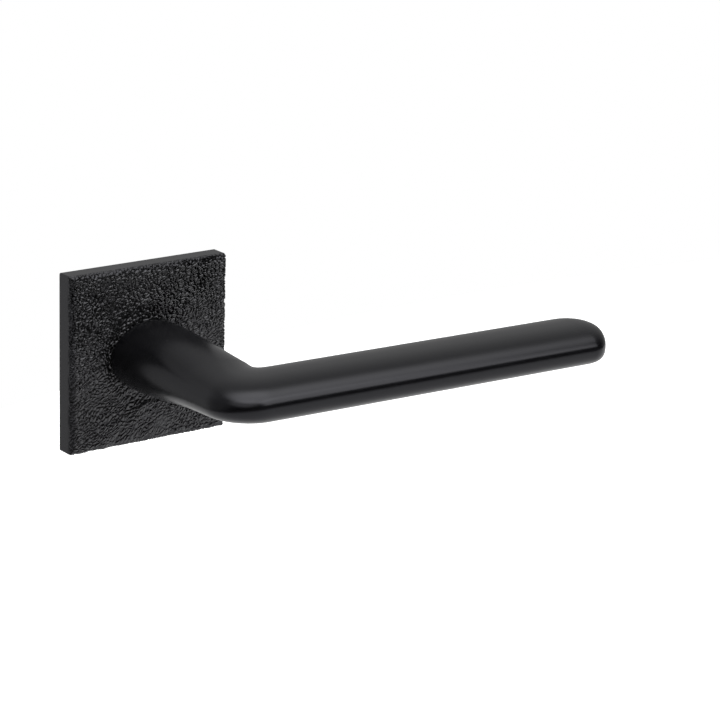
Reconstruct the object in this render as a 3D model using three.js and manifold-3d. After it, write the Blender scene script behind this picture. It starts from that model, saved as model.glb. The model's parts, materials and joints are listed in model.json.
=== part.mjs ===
// Sprung door lever handle on a square rose. All sizes are in millimetres.
//
// The door face is the plane y = 0 and the handle stands out from it towards -Y. The lever points
// along +X, +Z is up, and everything that turns does so about the Y axis. Angles round that axis are
// given as "turn" angles: 0 is +X, and they grow the way the lever goes down.

import * as THREE from 'three';
import { mergeVertices } from 'three/addons/utils/BufferGeometryUtils.js';
import Module from 'manifold-3d';

const wasm = await Module();
wasm.setup();

// ---------------------------------------------------------------------------------------------
// Driving dimensions
// ---------------------------------------------------------------------------------------------

// Clearances
const REST_GAP = 0.3; // between pieces that lie on each other
const SLIP_GAP = 0.15; // per side, between pieces pushed into each other
const RUN_GAP = 0.1; // radial, between pieces that turn in each other
const LOOSE_GAP = 0.6; // round pieces that must never rub
const SEAT_GAP = 0.1; // under a head or flange that is drawn down onto its seat

// Lever, a flat oval bar turned through a right angle on an oval neck
const LEVER_REACH = 53.7; // door face to the bar's centreline
const LEVER_LENGTH = 121.2; // spindle axis to the tip, along the bar
const BAR_YAW = 2.6; // degrees, the bar leans away from the door towards its tip
const ROOT_HALF_WIDTH = 13;
const ROOT_HALF_HEIGHT = 10.3;
const BAR_HALF_DEPTH = 12.7;
const BAR_HALF_HEIGHT = 6;
const TIP_HALF_DEPTH = 12.6;
const TIP_HALF_HEIGHT = 5.85;
const BAR_SECTION_POWER = 2.3; // superellipse power of the bar's section; the neck's root is an ellipse
const TIP_ROUNDING = 9.2; // length of the rounded tip
const TIP_PLAN_POWER = 1.9;
const TIP_TOP_POWER = 3.3; // the tip's outline from the side, above and below its middle
const TIP_BELLY_POWER = 6;
const OUTER_BEND_RADIUS = 13;
const INNER_BEND_RADIUS = 2;

// Rose cover, a shallow square cap
const ROSE_SIDE = 52;
const ROSE_DEPTH = 6.1;
const COVER_WALL = 1.2;
const COVER_FACE = 1.3;
const COVER_EDGE_RADIUS = 1.8;
const COVER_CORNER_RADIUS = 1;

// Spindle and the pieces built outwards from it
const SPINDLE_SIDE = 8;
const SPINDLE_IN_LEVER = 17.4; // length gripped inside the lever, from the lever's root
const SPINDLE_BEHIND_DOOR_FACE = 34;
const HUB_WALL = 1.5; // driver hub, outside the corners of its square hole
const WIRE = 1.2; // return spring
const WIRE_PITCH = 1.35;
const WIRE_TURNS = 4.75;
const HOOK_SWEEP = 10; // degrees over which the driven leg bends to run along the axis
const HOOK_INSET = 0.4; // from the faces of the driver's flange to the bends of that leg
const BUSH_WALL = 0.7;
const BUSH_FLANGE = 0.9; // thickness
const BUSH_FLANGE_WIDTH = 2.2;
const HOUSING_WALL = 4.2;
const HUB_PAST_CIRCLIP = 0.9;

// Turning limits
const TURN_RANGE = 45;
const STOP_TOOTH_HALF_ANGLE = 8;
const STOP_TOOTH_HEIGHT = 1.25;
const STOP_MARGIN = 1; // degrees left at each end of the tooth's travel

// Fixings
const FIXING_CENTRES = 38;
const FIXING_LUG_RADIUS = 4;
const FIXING_LUG_LENGTH = 8;
const FIXING_SCREW_RADIUS = 1.9;
const FIXING_HEAD_RADIUS = 3.7;
const FIXING_SCREW_LENGTH = 21.5;
const FIXING_SCREW_TIP = 4; // length of its cone
const FIXING_RECESS_DEPTH = 1.4;
const LID_SCREW_RADIUS = 0.85;
const LID_SCREW_HEAD_RADIUS = 1.8;
const LID_SCREW_LENGTH = 5.5;
const LID_SCREW_HEAD = 1; // height
const LID_SCREW_EDGE = 0.35; // chamfer round the head
const LID_RECESS_DEPTH = 0.6;
const LID_SCREW_INSET = 2.1; // from the housing's rim to the screws' axes
const RECESS_SPAN = 1.1; // tip to tip of a cross recess, in head radii
const RECESS_ARM = 0.28; // width of its arms, in spans
const GRUB_RADIUS = 2.9;
const GRUB_LENGTH = 5;
const GRUB_FROM_ROOT = 7.5;
const GRUB_KEY = 3; // across the flats of its hexagon socket

// Thin pieces
const GASKET = 0.7;
const LID = 1.2;
const LID_INSET = 0.2; // from the housing's rim
const DRIVER_FLANGE = 1.8;
const THRUST_WASHER = 0.5;
const WASHER_WIDTH = 1.9;
const CIRCLIP = 0.8;
const CIRCLIP_GROOVE = 0.7; // depth, and how far the ring stands out of it
const CIRCLIP_EYE_RADIUS = 1;
const CIRCLIP_OPENING = 13; // degrees from the middle of the opening to each eye
const CLIP_STRIP = 0.4;
const CLIP_WIDTH = 8;
const CLIP_OFFSET = 12; // from the middle of the rose's side
const CLIP_REACH = 0.15; // how far a clip stands into the cover's groove
const CLIP_BOW = 1.45; // from its feet to the middle of its back
const CLIP_GROOVE_DEPTH = 0.4;
const CLIP_GROOVE_HALF_WIDTH = 1.2;
const LEAF_STRIP = 0.4;
const LEAF_WIDTH = 3;
const LEAF_LENGTH = 15;
const LEAF_GROOVE_DEPTH = 1.1;
const LEAF_STANDS_OUT = 0.5;
const SPINDLE_CHAMFER = 0.6;

// ---------------------------------------------------------------------------------------------
// Derived dimensions: places along the Y axis, then radii
// ---------------------------------------------------------------------------------------------

const coverInnerY = -(ROSE_DEPTH - COVER_FACE);
const leverRootY = -(ROSE_DEPTH + REST_GAP);
const baseFrontY = coverInnerY + REST_GAP;
const baseBackY = -(GASKET + REST_GAP);
const bushFrontY = baseFrontY + SEAT_GAP;
const bushFlangeBackY = bushFrontY + BUSH_FLANGE;
const bushBackY = baseBackY - 0.5;
const driverFrontY = bushBackY + REST_GAP;
const flangeBackY = driverFrontY + DRIVER_FLANGE;
const coilFrontY = flangeBackY + REST_GAP + WIRE / 2;
const coilBackY = coilFrontY + WIRE_TURNS * WIRE_PITCH;
const housingBackY = coilBackY + WIRE / 2 + REST_GAP;
const lidFrontY = housingBackY + REST_GAP;
const lidBackY = lidFrontY + LID;
const washerFrontY = lidBackY + REST_GAP;
const circlipFrontY = washerFrontY + THRUST_WASHER + REST_GAP;
const circlipBackY = circlipFrontY + CIRCLIP;
const hubBackY = circlipBackY + HUB_PAST_CIRCLIP;

const socketSide = SPINDLE_SIDE + 2 * SLIP_GAP;
const hubRadius = socketSide / Math.SQRT2 + HUB_WALL;
const coilRadius = hubRadius + LOOSE_GAP + WIRE / 2;
const housingBore = coilRadius + WIRE / 2 + LOOSE_GAP;
const housingRadius = housingBore + HOUSING_WALL;
const bushRadius = housingBore - RUN_GAP;
const bushBore = bushRadius - BUSH_WALL;
const bushFlangeRadius = bushRadius + BUSH_FLANGE_WIDTH;
const spigotRadius = bushBore - RUN_GAP;
const coverHoleRadius = spigotRadius + LOOSE_GAP;
const flangeRadius = housingBore - 2 * RUN_GAP;
const toothRadius = housingBore + STOP_TOOTH_HEIGHT;
const lidRadius = housingRadius - LID_INSET;
const lidScrewCircle = housingRadius - LID_SCREW_INSET;
const circlipGrooveRadius = hubRadius - CIRCLIP_GROOVE;

const coverInnerHalf = ROSE_SIDE / 2 - COVER_WALL;
const baseHalf = coverInnerHalf - REST_GAP - SEAT_GAP;
const fixingZ = FIXING_CENTRES / 2;

const springBackTurn = -10; // where the spring's fixed leg leaves the coil
const springFrontTurn = springBackTurn - 360 * WIRE_TURNS;
const fixedLegLength = coilRadius * 0.9; // stops inside the housing's wall
const stopTurn = -90 - TURN_RANGE / 2; // middle of the driver's stop tooth at rest

// ---------------------------------------------------------------------------------------------
// Solids: three.js geometries joined and cut by manifold
// ---------------------------------------------------------------------------------------------

const radians = THREE.MathUtils.degToRad;
const ROUND = 48; // sides of a turned piece

function solid(geometry) {
  const bare = geometry.clone();
  bare.deleteAttribute('normal');
  bare.deleteAttribute('uv');
  const merged = mergeVertices(bare, 1e-5);
  const index = merged.index.array;
  const triangles = [];
  for (let i = 0; i < index.length; i += 3) {
    const [a, b, c] = [index[i], index[i + 1], index[i + 2]];
    if (a !== b && b !== c && c !== a) triangles.push(a, b, c);
  }
  return new wasm.Manifold(new wasm.Mesh({
    numProp: 3,
    vertProperties: new Float32Array(merged.attributes.position.array),
    triVerts: new Uint32Array(triangles),
  }));
}

function geometryOf(manifold) {
  const { vertProperties, triVerts } = manifold.getMesh();
  const geometry = new THREE.BufferGeometry();
  geometry.setAttribute('position', new THREE.BufferAttribute(vertProperties, 3));
  geometry.setIndex(new THREE.BufferAttribute(triVerts, 1));
  geometry.computeVertexNormals();
  return geometry;
}

const union = (...pieces) => pieces.reduce((a, b) => a.add(b));
const cut = (body, ...tools) => tools.reduce((a, b) => a.subtract(b), body);

// A turned solid about the Y axis; its profile is [radius, y] points, anticlockwise.
function turned(profile, sides = ROUND) {
  const points = profile.map(([radius, y]) => new THREE.Vector2(radius, y));
  return solid(new THREE.LatheGeometry(points, sides));
}

const disc = (radius, y0, y1, sides) => turned([[0, y0], [radius, y0], [radius, y1], [0, y1]], sides);

const ring = (bore, radius, y0, y1) =>
  turned([[bore, y0], [radius, y0], [radius, y1], [bore, y1], [bore, y0]]);

// A round rod along Y, away from the spindle axis.
function rod(radius, y0, y1, x, z, sides = 32) {
  const geometry = new THREE.CylinderGeometry(radius, radius, y1 - y0, sides);
  return solid(geometry.translate(x, (y0 + y1) / 2, z));
}

// A box from its two corners.
function block([x0, y0, z0], [x1, y1, z1]) {
  const geometry = new THREE.BoxGeometry(x1 - x0, y1 - y0, z1 - z0);
  return solid(geometry.translate((x0 + x1) / 2, (y0 + y1) / 2, (z0 + z1) / 2));
}

// An outline drawn in X and Z, extruded along Y.
function plate(outline, y0, y1, segments = 12) {
  const geometry = new THREE.ExtrudeGeometry(outline, {
    depth: y1 - y0, bevelEnabled: false, curveSegments: segments,
  });
  return solid(geometry.rotateX(Math.PI / 2).translate(0, y1, 0));
}

// A square outline with rounded corners, centred on the spindle axis.
function roundedSquare(half, radius) {
  const shape = new THREE.Shape();
  const inner = half - radius;
  shape.absarc(inner, inner, radius, 0, Math.PI / 2);
  shape.absarc(-inner, inner, radius, Math.PI / 2, Math.PI);
  shape.absarc(-inner, -inner, radius, Math.PI, 1.5 * Math.PI);
  shape.absarc(inner, -inner, radius, 1.5 * Math.PI, 2 * Math.PI);
  return shape;
}

// The x and z of a point at a radius and a turn angle.
const polar = (radius, turn) => [radius * Math.cos(radians(turn)), -radius * Math.sin(radians(turn))];

// A sector of a disc between two turn angles, reaching in to a radius below its rim.
function sector(inner, outer, turn0, turn1, y0, y1) {
  const shape = new THREE.Shape();
  shape.absarc(0, 0, outer, -radians(turn1), -radians(turn0));
  shape.absarc(0, 0, inner, -radians(turn0), -radians(turn1), true);
  return plate(shape, y0, y1, 24);
}

// A box that lies along a direction at a turn angle: its length, width and Y span.
function rail(length, width, y0, y1, x, z, turn) {
  const geometry = new THREE.BoxGeometry(length, y1 - y0, width);
  return solid(geometry.rotateY(radians(turn)).translate(x, (y0 + y1) / 2, z));
}

// A cross recess for a screwdriver, between two heights.
function crossRecess(headRadius, y0, y1, x, z) {
  const size = headRadius * RECESS_SPAN;
  const width = size * RECESS_ARM;
  return union(
    block([x - size / 2, y0, z - width / 2], [x + size / 2, y1, z + width / 2]),
    block([x - width / 2, y0, z - size / 2], [x + width / 2, y1, z + size / 2]),
  );
}

// ---------------------------------------------------------------------------------------------
// Lever
// ---------------------------------------------------------------------------------------------

const smooth = (t) => THREE.MathUtils.smoothstep(t, 0, 1);

// The plan of the lever is an L. Each station across it has the point on its inner edge, the point
// on its outer edge, and the section between them: its superellipse power, and its heights above
// and below the middle.
function leverStations(neckCount, bendCount, barCount, tipCount) {
  const yaw = radians(BAR_YAW);
  const along = new THREE.Vector2(Math.cos(yaw), -Math.sin(yaw));
  const outward = new THREE.Vector2(-Math.sin(yaw), -Math.cos(yaw));
  const onBar = (distance, offset) => new THREE.Vector2(0, -LEVER_REACH)
    .addScaledVector(along, distance)
    .addScaledVector(outward, offset);
  // The point at an offset from the bar's centreline whose x is given.
  const onBarAtX = (x, offset) => onBar((x - outward.x * offset) / along.x, offset);

  const inner = BAR_HALF_DEPTH + INNER_BEND_RADIUS;
  const outer = BAR_HALF_DEPTH - OUTER_BEND_RADIUS;
  const innerCentre = onBarAtX(inner, -inner);
  const outerCentre = onBarAtX(-outer, outer);

  const stations = [];
  const add = (innerEdge, outerEdge, power, above, below = above) => {
    stations.push({ innerEdge, outerEdge, power, above, below });
  };
  // The section changes from the root's to the bar's with the distance from the door.
  const addBlended = (innerEdge, outerEdge) => {
    const distance = -(innerEdge.y + outerEdge.y) / 2;
    const t = smooth((distance + leverRootY) / (LEVER_REACH + leverRootY));
    add(innerEdge, outerEdge, THREE.MathUtils.lerp(2, BAR_SECTION_POWER, t),
      THREE.MathUtils.lerp(ROOT_HALF_HEIGHT, BAR_HALF_HEIGHT, t));
  };

  for (let i = 0; i < neckCount; i += 1) {
    const t = i / neckCount;
    const y = THREE.MathUtils.lerp(leverRootY, innerCentre.y, t);
    const half = THREE.MathUtils.lerp(ROOT_HALF_WIDTH, BAR_HALF_DEPTH, smooth(t));
    addBlended(new THREE.Vector2(half, y), new THREE.Vector2(-half, y));
  }

  // The stations of the bend fan out from the centre of its inner edge.
  for (let i = 0; i < bendCount; i += 1) {
    const angle = (i / bendCount) * (Math.PI / 2 - yaw);
    const ray = new THREE.Vector2(-Math.cos(angle), -Math.sin(angle));
    const start = innerCentre.clone().addScaledVector(ray, INNER_BEND_RADIUS);
    const toArc = innerCentre.clone().sub(outerCentre);
    const b = toArc.dot(ray);
    const arcHit = -b + Math.sqrt(Math.max(0, b * b - toArc.lengthSq() + OUTER_BEND_RADIUS ** 2));
    const neckHit = (innerCentre.x + BAR_HALF_DEPTH) / -ray.x;
    const barHit = (BAR_HALF_DEPTH + inner) / Math.max(ray.dot(outward), 1e-9);
    const neckPoint = innerCentre.clone().addScaledVector(ray, neckHit);
    const barPoint = innerCentre.clone().addScaledVector(ray, barHit);
    let end = innerCentre.clone().addScaledVector(ray, arcHit);
    if (neckPoint.y > outerCentre.y) end = neckPoint;
    else if (barPoint.clone().sub(outerCentre).dot(along) > 0) end = barPoint;
    addBlended(start, end);
  }

  const barStart = innerCentre.clone().sub(onBar(0, 0)).dot(along);
  const tipStart = LEVER_LENGTH - TIP_ROUNDING;
  const addOnBar = (distance, depthShare, aboveShare, belowShare) => {
    const t = (distance - barStart) / (LEVER_LENGTH - barStart);
    const depth = THREE.MathUtils.lerp(BAR_HALF_DEPTH, TIP_HALF_DEPTH, t) * depthShare;
    const height = THREE.MathUtils.lerp(BAR_HALF_HEIGHT, TIP_HALF_HEIGHT, t);
    add(onBar(distance, -depth), onBar(distance, depth), BAR_SECTION_POWER,
      height * aboveShare, height * belowShare);
  };
  for (let i = 0; i < barCount; i += 1) {
    addOnBar(THREE.MathUtils.lerp(barStart, tipStart, i / barCount), 1, 1, 1);
  }
  for (let i = 0; i <= tipCount; i += 1) {
    const reach = Math.sin((i / tipCount) * radians(87));
    const share = (power) => (1 - reach ** power) ** (1 / power);
    addOnBar(tipStart + reach * TIP_ROUNDING, share(TIP_PLAN_POWER), share(TIP_TOP_POWER),
      share(TIP_BELLY_POWER));
  }
  return stations;
}

// A cylinder's rows of vertices are moved onto the stations, one row to each.
function leverBody() {
  const stations = leverStations(8, 12, 5, 8);
  const rows = stations.length - 1;
  const geometry = new THREE.CylinderGeometry(1, 1, 1, 40, rows);
  const position = geometry.attributes.position;
  const vertex = new THREE.Vector3();
  for (let i = 0; i < position.count; i += 1) {
    vertex.fromBufferAttribute(position, i);
    const { innerEdge, outerEdge, power, above, below } =
      stations[Math.round((0.5 - vertex.y) * rows)];
    const middle = innerEdge.clone().add(outerEdge).multiplyScalar(0.5);
    const halfSpan = outerEdge.clone().sub(innerEdge).multiplyScalar(0.5);
    const across = Math.sign(vertex.z) * Math.abs(vertex.z) ** (2 / power);
    const up = Math.sign(vertex.x) * Math.abs(vertex.x) ** (2 / power);
    position.setXYZ(i, middle.x + halfSpan.x * across, middle.y + halfSpan.y * across,
      up * (up > 0 ? above : below));
  }
  return solid(geometry);
}

function lever() {
  const spigot = disc(spigotRadius, leverRootY - 2, bushBackY);
  const half = socketSide / 2;
  const socketEndY = leverRootY - SPINDLE_IN_LEVER - REST_GAP;
  const socket = block([-half, socketEndY, -half], [half, bushBackY + 1, half]);
  const grubHole = new THREE.CylinderGeometry(GRUB_RADIUS + SLIP_GAP, GRUB_RADIUS + SLIP_GAP,
    ROOT_HALF_HEIGHT, 32);
  grubHole.rotateX(Math.PI / 2).translate(0, leverRootY - GRUB_FROM_ROOT, -ROOT_HALF_HEIGHT / 2 - 1);
  return cut(union(leverBody(), spigot), socket, solid(grubHole));
}

// The grub screw presses on the spindle from below; its key socket faces down.
function grubScrew() {
  const top = -SPINDLE_SIDE / 2 - SLIP_GAP;
  const body = new THREE.CylinderGeometry(GRUB_RADIUS, GRUB_RADIUS, GRUB_LENGTH, 32);
  const key = new THREE.CylinderGeometry(GRUB_KEY / Math.sqrt(3), GRUB_KEY / Math.sqrt(3), 3, 6);
  key.translate(0, -GRUB_LENGTH / 2, 0);
  const y = leverRootY - GRUB_FROM_ROOT;
  for (const piece of [body, key]) piece.rotateX(Math.PI / 2).translate(0, y, top - GRUB_LENGTH / 2);
  return cut(solid(body), solid(key));
}

// ---------------------------------------------------------------------------------------------
// Rose
// ---------------------------------------------------------------------------------------------

// The clip on each side of the rose: its name and how far it is turned round the spindle axis.
const clipSides = [['right', 0], ['bottom', 90], ['left', 180], ['top', 270]];
const clipMiddleY = (baseFrontY + baseBackY) / 2;
const clipHalfSpan = (baseBackY - baseFrontY) / 2 - LOOSE_GAP;
const clipBulge = coverInnerHalf + CLIP_REACH;
const clipFoot = clipBulge - CLIP_BOW;

// A box given for the right-hand side of the rose, repeated round its four sides.
function onEachSide(low, high) {
  return clipSides.map(([, turn]) => {
    const geometry = new THREE.BoxGeometry(high[0] - low[0], high[1] - low[1], high[2] - low[2]);
    geometry.translate((low[0] + high[0]) / 2, (low[1] + high[1]) / 2, (low[2] + high[2]) / 2);
    return solid(geometry.rotateY(radians(turn)));
  });
}

// The cover's front edges are rounded along both directions of the square.
function roseCover() {
  const half = ROSE_SIDE / 2;
  const front = -ROSE_DEPTH;
  const profile = new THREE.Shape();
  profile.moveTo(half, 0).lineTo(-half, 0).lineTo(-half, front + COVER_EDGE_RADIUS);
  profile.absarc(-half + COVER_EDGE_RADIUS, front + COVER_EDGE_RADIUS, COVER_EDGE_RADIUS,
    Math.PI, 1.5 * Math.PI);
  profile.absarc(half - COVER_EDGE_RADIUS, front + COVER_EDGE_RADIUS, COVER_EDGE_RADIUS,
    1.5 * Math.PI, 2 * Math.PI);
  const across = new THREE.ExtrudeGeometry(profile, {
    depth: ROSE_SIDE + 2, bevelEnabled: false, curveSegments: 8,
  }).translate(0, 0, -half - 1);
  const body = plate(roundedSquare(half, COVER_CORNER_RADIUS), front, 0, 6)
    .intersect(solid(across))
    .intersect(solid(across.clone().rotateY(Math.PI / 2)));
  const hollow = plate(roundedSquare(coverInnerHalf, COVER_CORNER_RADIUS), coverInnerY, 1, 4);
  const hole = disc(coverHoleRadius, front - 1, 0);
  const clipGrooves = onEachSide(
    [coverInnerHalf - 1, clipMiddleY - CLIP_GROOVE_HALF_WIDTH,
      CLIP_OFFSET - CLIP_WIDTH / 2 - LOOSE_GAP],
    [coverInnerHalf + CLIP_GROOVE_DEPTH, clipMiddleY + CLIP_GROOVE_HALF_WIDTH,
      CLIP_OFFSET + CLIP_WIDTH / 2 + LOOSE_GAP],
  );
  return cut(body, hollow, hole, ...clipGrooves);
}

const lidScrewTurns = [-150, -30, 90];

function roseBase() {
  const lugs = [-fixingZ, fixingZ].map((z) =>
    rod(FIXING_LUG_RADIUS, baseBackY - 1, FIXING_LUG_LENGTH, 0, z));
  const body = union(
    plate(roundedSquare(baseHalf, COVER_CORNER_RADIUS), baseFrontY, baseBackY, 4),
    disc(housingRadius, baseBackY - 1, housingBackY),
    ...lugs,
  );

  const bore = disc(housingBore, baseFrontY - 1, housingBackY + 1);
  const flangeSeat = disc(bushFlangeRadius + SLIP_GAP, baseFrontY - 1, bushFlangeBackY + SLIP_GAP);
  const travel = STOP_TOOTH_HALF_ANGLE + STOP_MARGIN;
  const stopPocket = sector(housingBore - LOOSE_GAP, toothRadius + SLIP_GAP,
    stopTurn - travel, stopTurn + TURN_RANGE + travel, driverFrontY - REST_GAP, housingBackY + 1);

  const [legX, legZ] = polar(coilRadius, springBackTurn);
  const [slotX, slotZ] = polar(1, springBackTurn + 90);
  const slotLength = fixedLegLength + 1;
  const legSlot = rail(slotLength, WIRE + 2 * SLIP_GAP, coilBackY - WIRE / 2 - SLIP_GAP,
    housingBackY + 1, legX + slotX * slotLength / 2, legZ + slotZ * slotLength / 2,
    springBackTurn + 90);

  const fixingHoles = [-fixingZ, fixingZ].map((z) => {
    const countersink = [[0, baseFrontY - 0.01], [FIXING_HEAD_RADIUS + SLIP_GAP, baseFrontY - 0.01],
      [FIXING_SCREW_RADIUS + REST_GAP, baseFrontY + FIXING_HEAD_RADIUS - FIXING_SCREW_RADIUS + REST_GAP],
      [FIXING_SCREW_RADIUS + REST_GAP, FIXING_LUG_LENGTH + 1], [0, FIXING_LUG_LENGTH + 1]];
    const points = countersink.map(([radius, y]) => new THREE.Vector2(radius, y));
    return solid(new THREE.LatheGeometry(points, 32).translate(0, 0, z));
  });
  const lidHoles = lidScrewTurns.map((turn) => rod(LID_SCREW_RADIUS + SLIP_GAP,
    housingBackY - LID_SCREW_LENGTH, housingBackY + 1, ...polar(lidScrewCircle, turn), 16));
  const clipNotches = onEachSide(
    [clipFoot - REST_GAP, clipMiddleY - clipHalfSpan - SLIP_GAP,
      CLIP_OFFSET - CLIP_WIDTH / 2 - SLIP_GAP],
    [baseHalf + 1, clipMiddleY + clipHalfSpan + SLIP_GAP, CLIP_OFFSET + CLIP_WIDTH / 2 + SLIP_GAP],
  );
  return cut(body, bore, flangeSeat, stopPocket, legSlot, ...fixingHoles, ...lidHoles, ...clipNotches);
}

// A bowed leaf of spring strip whose middle snaps into the cover's groove.
function coverClip(turn) {
  const bow = clipBulge - clipFoot;
  const radius = (clipHalfSpan ** 2 + bow ** 2) / (2 * bow);
  const sweep = Math.asin(Math.min(1, clipHalfSpan / radius));
  const centre = clipBulge - radius;
  const strip = new THREE.Shape();
  strip.absarc(centre, clipMiddleY, radius, -sweep, sweep);
  strip.absarc(centre, clipMiddleY, radius - CLIP_STRIP, sweep, -sweep, true);
  const geometry = new THREE.ExtrudeGeometry(strip, {
    depth: CLIP_WIDTH, bevelEnabled: false, curveSegments: 10,
  });
  return solid(geometry.translate(0, 0, CLIP_OFFSET - CLIP_WIDTH / 2).rotateY(radians(turn)));
}

function gasket() {
  const sheet = plate(roundedSquare(baseHalf, COVER_CORNER_RADIUS), -GASKET, 0, 4);
  const lugHoles = [-fixingZ, fixingZ].map((z) =>
    rod(FIXING_LUG_RADIUS + REST_GAP, -GASKET - 1, 1, 0, z));
  return cut(sheet, disc(housingRadius + REST_GAP, -GASKET - 1, 1), ...lugHoles);
}

const neckBush = () => turned([
  [bushBore, bushFrontY], [bushFlangeRadius, bushFrontY], [bushFlangeRadius, bushFlangeBackY],
  [bushRadius, bushFlangeBackY], [bushRadius, bushBackY], [bushBore, bushBackY],
  [bushBore, bushFrontY],
]);

// Countersunk wood screw, head to the front.
function fixingScrew(z) {
  const front = baseFrontY + SEAT_GAP;
  const profile = [[0, front], [FIXING_HEAD_RADIUS, front],
    [FIXING_SCREW_RADIUS, front + FIXING_HEAD_RADIUS - FIXING_SCREW_RADIUS],
    [FIXING_SCREW_RADIUS, front + FIXING_SCREW_LENGTH - FIXING_SCREW_TIP],
    [0, front + FIXING_SCREW_LENGTH]];
  const points = profile.map(([radius, y]) => new THREE.Vector2(radius, y));
  const screw = solid(new THREE.LatheGeometry(points, 24).translate(0, 0, z));
  return cut(screw, crossRecess(FIXING_HEAD_RADIUS, front - 1, front + FIXING_RECESS_DEPTH, 0, z));
}

// ---------------------------------------------------------------------------------------------
// Return spring and what turns with the spindle
// ---------------------------------------------------------------------------------------------

function springDriver() {
  const half = socketSide / 2;
  const body = union(
    disc(flangeRadius, driverFrontY, flangeBackY),
    disc(hubRadius, driverFrontY + DRIVER_FLANGE / 2, hubBackY),
    sector(flangeRadius - 1, toothRadius, stopTurn - STOP_TOOTH_HALF_ANGLE,
      stopTurn + STOP_TOOTH_HALF_ANGLE, driverFrontY, flangeBackY),
  );
  const socket = block([-half, driverFrontY - 1, -half], [half, hubBackY + 1, half]);
  const groove = ring(circlipGrooveRadius, hubRadius + 1, circlipFrontY - SEAT_GAP,
    circlipBackY + SEAT_GAP);
  const hookTurn = springFrontTurn - HOOK_SWEEP;
  const legHalfAngle = THREE.MathUtils.radToDeg((WIRE / 2 + SLIP_GAP) / coilRadius);
  const legNotch = sector(coilRadius - WIRE / 2 - SLIP_GAP, flangeRadius + 1,
    hookTurn - legHalfAngle - 1, hookTurn + HOOK_SWEEP + 1, driverFrontY - 1, flangeBackY + 1);
  return cut(body, socket, groove, legNotch);
}

// The coil runs from the driven leg, hooked into the driver's flange, to the fixed leg, which lies
// in the housing's slot.
function returnSpring() {
  const points = [];
  const addPoint = (radius, turn, y) => {
    const [x, z] = polar(radius, turn);
    points.push(new THREE.Vector3(x, y, z));
  };
  const hookTurn = springFrontTurn - HOOK_SWEEP;
  addPoint(coilRadius, hookTurn, driverFrontY + HOOK_INSET);
  addPoint(coilRadius, hookTurn, flangeBackY - HOOK_INSET);
  addPoint(coilRadius, hookTurn + HOOK_SWEEP / 5, coilFrontY - WIRE / 2);
  const stepsPerTurn = 24;
  const steps = stepsPerTurn * WIRE_TURNS;
  for (let i = 0; i <= steps; i += 1) {
    const t = i / steps;
    addPoint(coilRadius, THREE.MathUtils.lerp(springFrontTurn, springBackTurn, t),
      THREE.MathUtils.lerp(coilFrontY, coilBackY, t));
  }
  const last = points[points.length - 1];
  const [dirX, dirZ] = polar(1, springBackTurn + 90);
  for (const share of [0.34, 0.67, 1]) {
    const length = fixedLegLength * share;
    points.push(new THREE.Vector3(last.x + dirX * length, last.y, last.z + dirZ * length));
  }
  const section = new THREE.Shape().absarc(0, 0, WIRE / 2, 0, 2 * Math.PI);
  return solid(new THREE.ExtrudeGeometry(section, {
    steps: 130, curveSegments: 4, extrudePath: new THREE.CatmullRomCurve3(points),
  }));
}

function housingLid() {
  const holes = lidScrewTurns.map((turn) => rod(LID_SCREW_RADIUS + REST_GAP, lidFrontY - 1,
    lidBackY + 1, ...polar(lidScrewCircle, turn), 16));
  return cut(ring(hubRadius + RUN_GAP, lidRadius, lidFrontY, lidBackY), ...holes);
}

// Pan-head screw, head to the back.
function lidScrew(turn) {
  const headFront = lidBackY + SEAT_GAP;
  const headBack = headFront + LID_SCREW_HEAD;
  const profile = [[0, headFront - LID_SCREW_LENGTH], [LID_SCREW_RADIUS, headFront - LID_SCREW_LENGTH],
    [LID_SCREW_RADIUS, headFront], [LID_SCREW_HEAD_RADIUS, headFront],
    [LID_SCREW_HEAD_RADIUS, headBack - LID_SCREW_EDGE],
    [LID_SCREW_HEAD_RADIUS - LID_SCREW_EDGE, headBack], [0, headBack]];
  const [x, z] = polar(lidScrewCircle, turn);
  const points = profile.map(([radius, y]) => new THREE.Vector2(radius, y));
  const screw = solid(new THREE.LatheGeometry(points, 20).translate(x, 0, z));
  return cut(screw, crossRecess(LID_SCREW_HEAD_RADIUS, headBack - LID_RECESS_DEPTH, headBack + 1, x, z));
}

const thrustWasher = () =>
  ring(hubRadius + SLIP_GAP, hubRadius + WASHER_WIDTH, washerFrontY, washerFrontY + THRUST_WASHER);

// External retaining ring: an open ring with an eye at each end for the pliers.
function circlip() {
  const outer = hubRadius + CIRCLIP_GROOVE;
  const eyeCircle = outer + CIRCLIP_EYE_RADIUS * 0.4;
  const eyeTurns = [90 - CIRCLIP_OPENING, 90 + CIRCLIP_OPENING];
  const eyes = eyeTurns.map((turn) =>
    rod(CIRCLIP_EYE_RADIUS, circlipFrontY, circlipBackY, ...polar(eyeCircle, turn), 16));
  const pliersHoles = eyeTurns.map((turn) => rod(CIRCLIP_EYE_RADIUS * 0.45, circlipFrontY - 1,
    circlipBackY + 1, ...polar(eyeCircle, turn), 12));
  const bore = disc(circlipGrooveRadius + SLIP_GAP, circlipFrontY - 1, circlipBackY + 1);
  const opening = block([-LOOSE_GAP, circlipFrontY - 1, -outer - 3],
    [LOOSE_GAP, circlipBackY + 1, 0]);
  return cut(union(disc(outer, circlipFrontY, circlipBackY), ...eyes), bore, opening, ...pliersHoles);
}

// ---------------------------------------------------------------------------------------------
// Spindle
// ---------------------------------------------------------------------------------------------

const leafMiddleY = (hubBackY + SPINDLE_BEHIND_DOOR_FACE) / 2;

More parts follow.
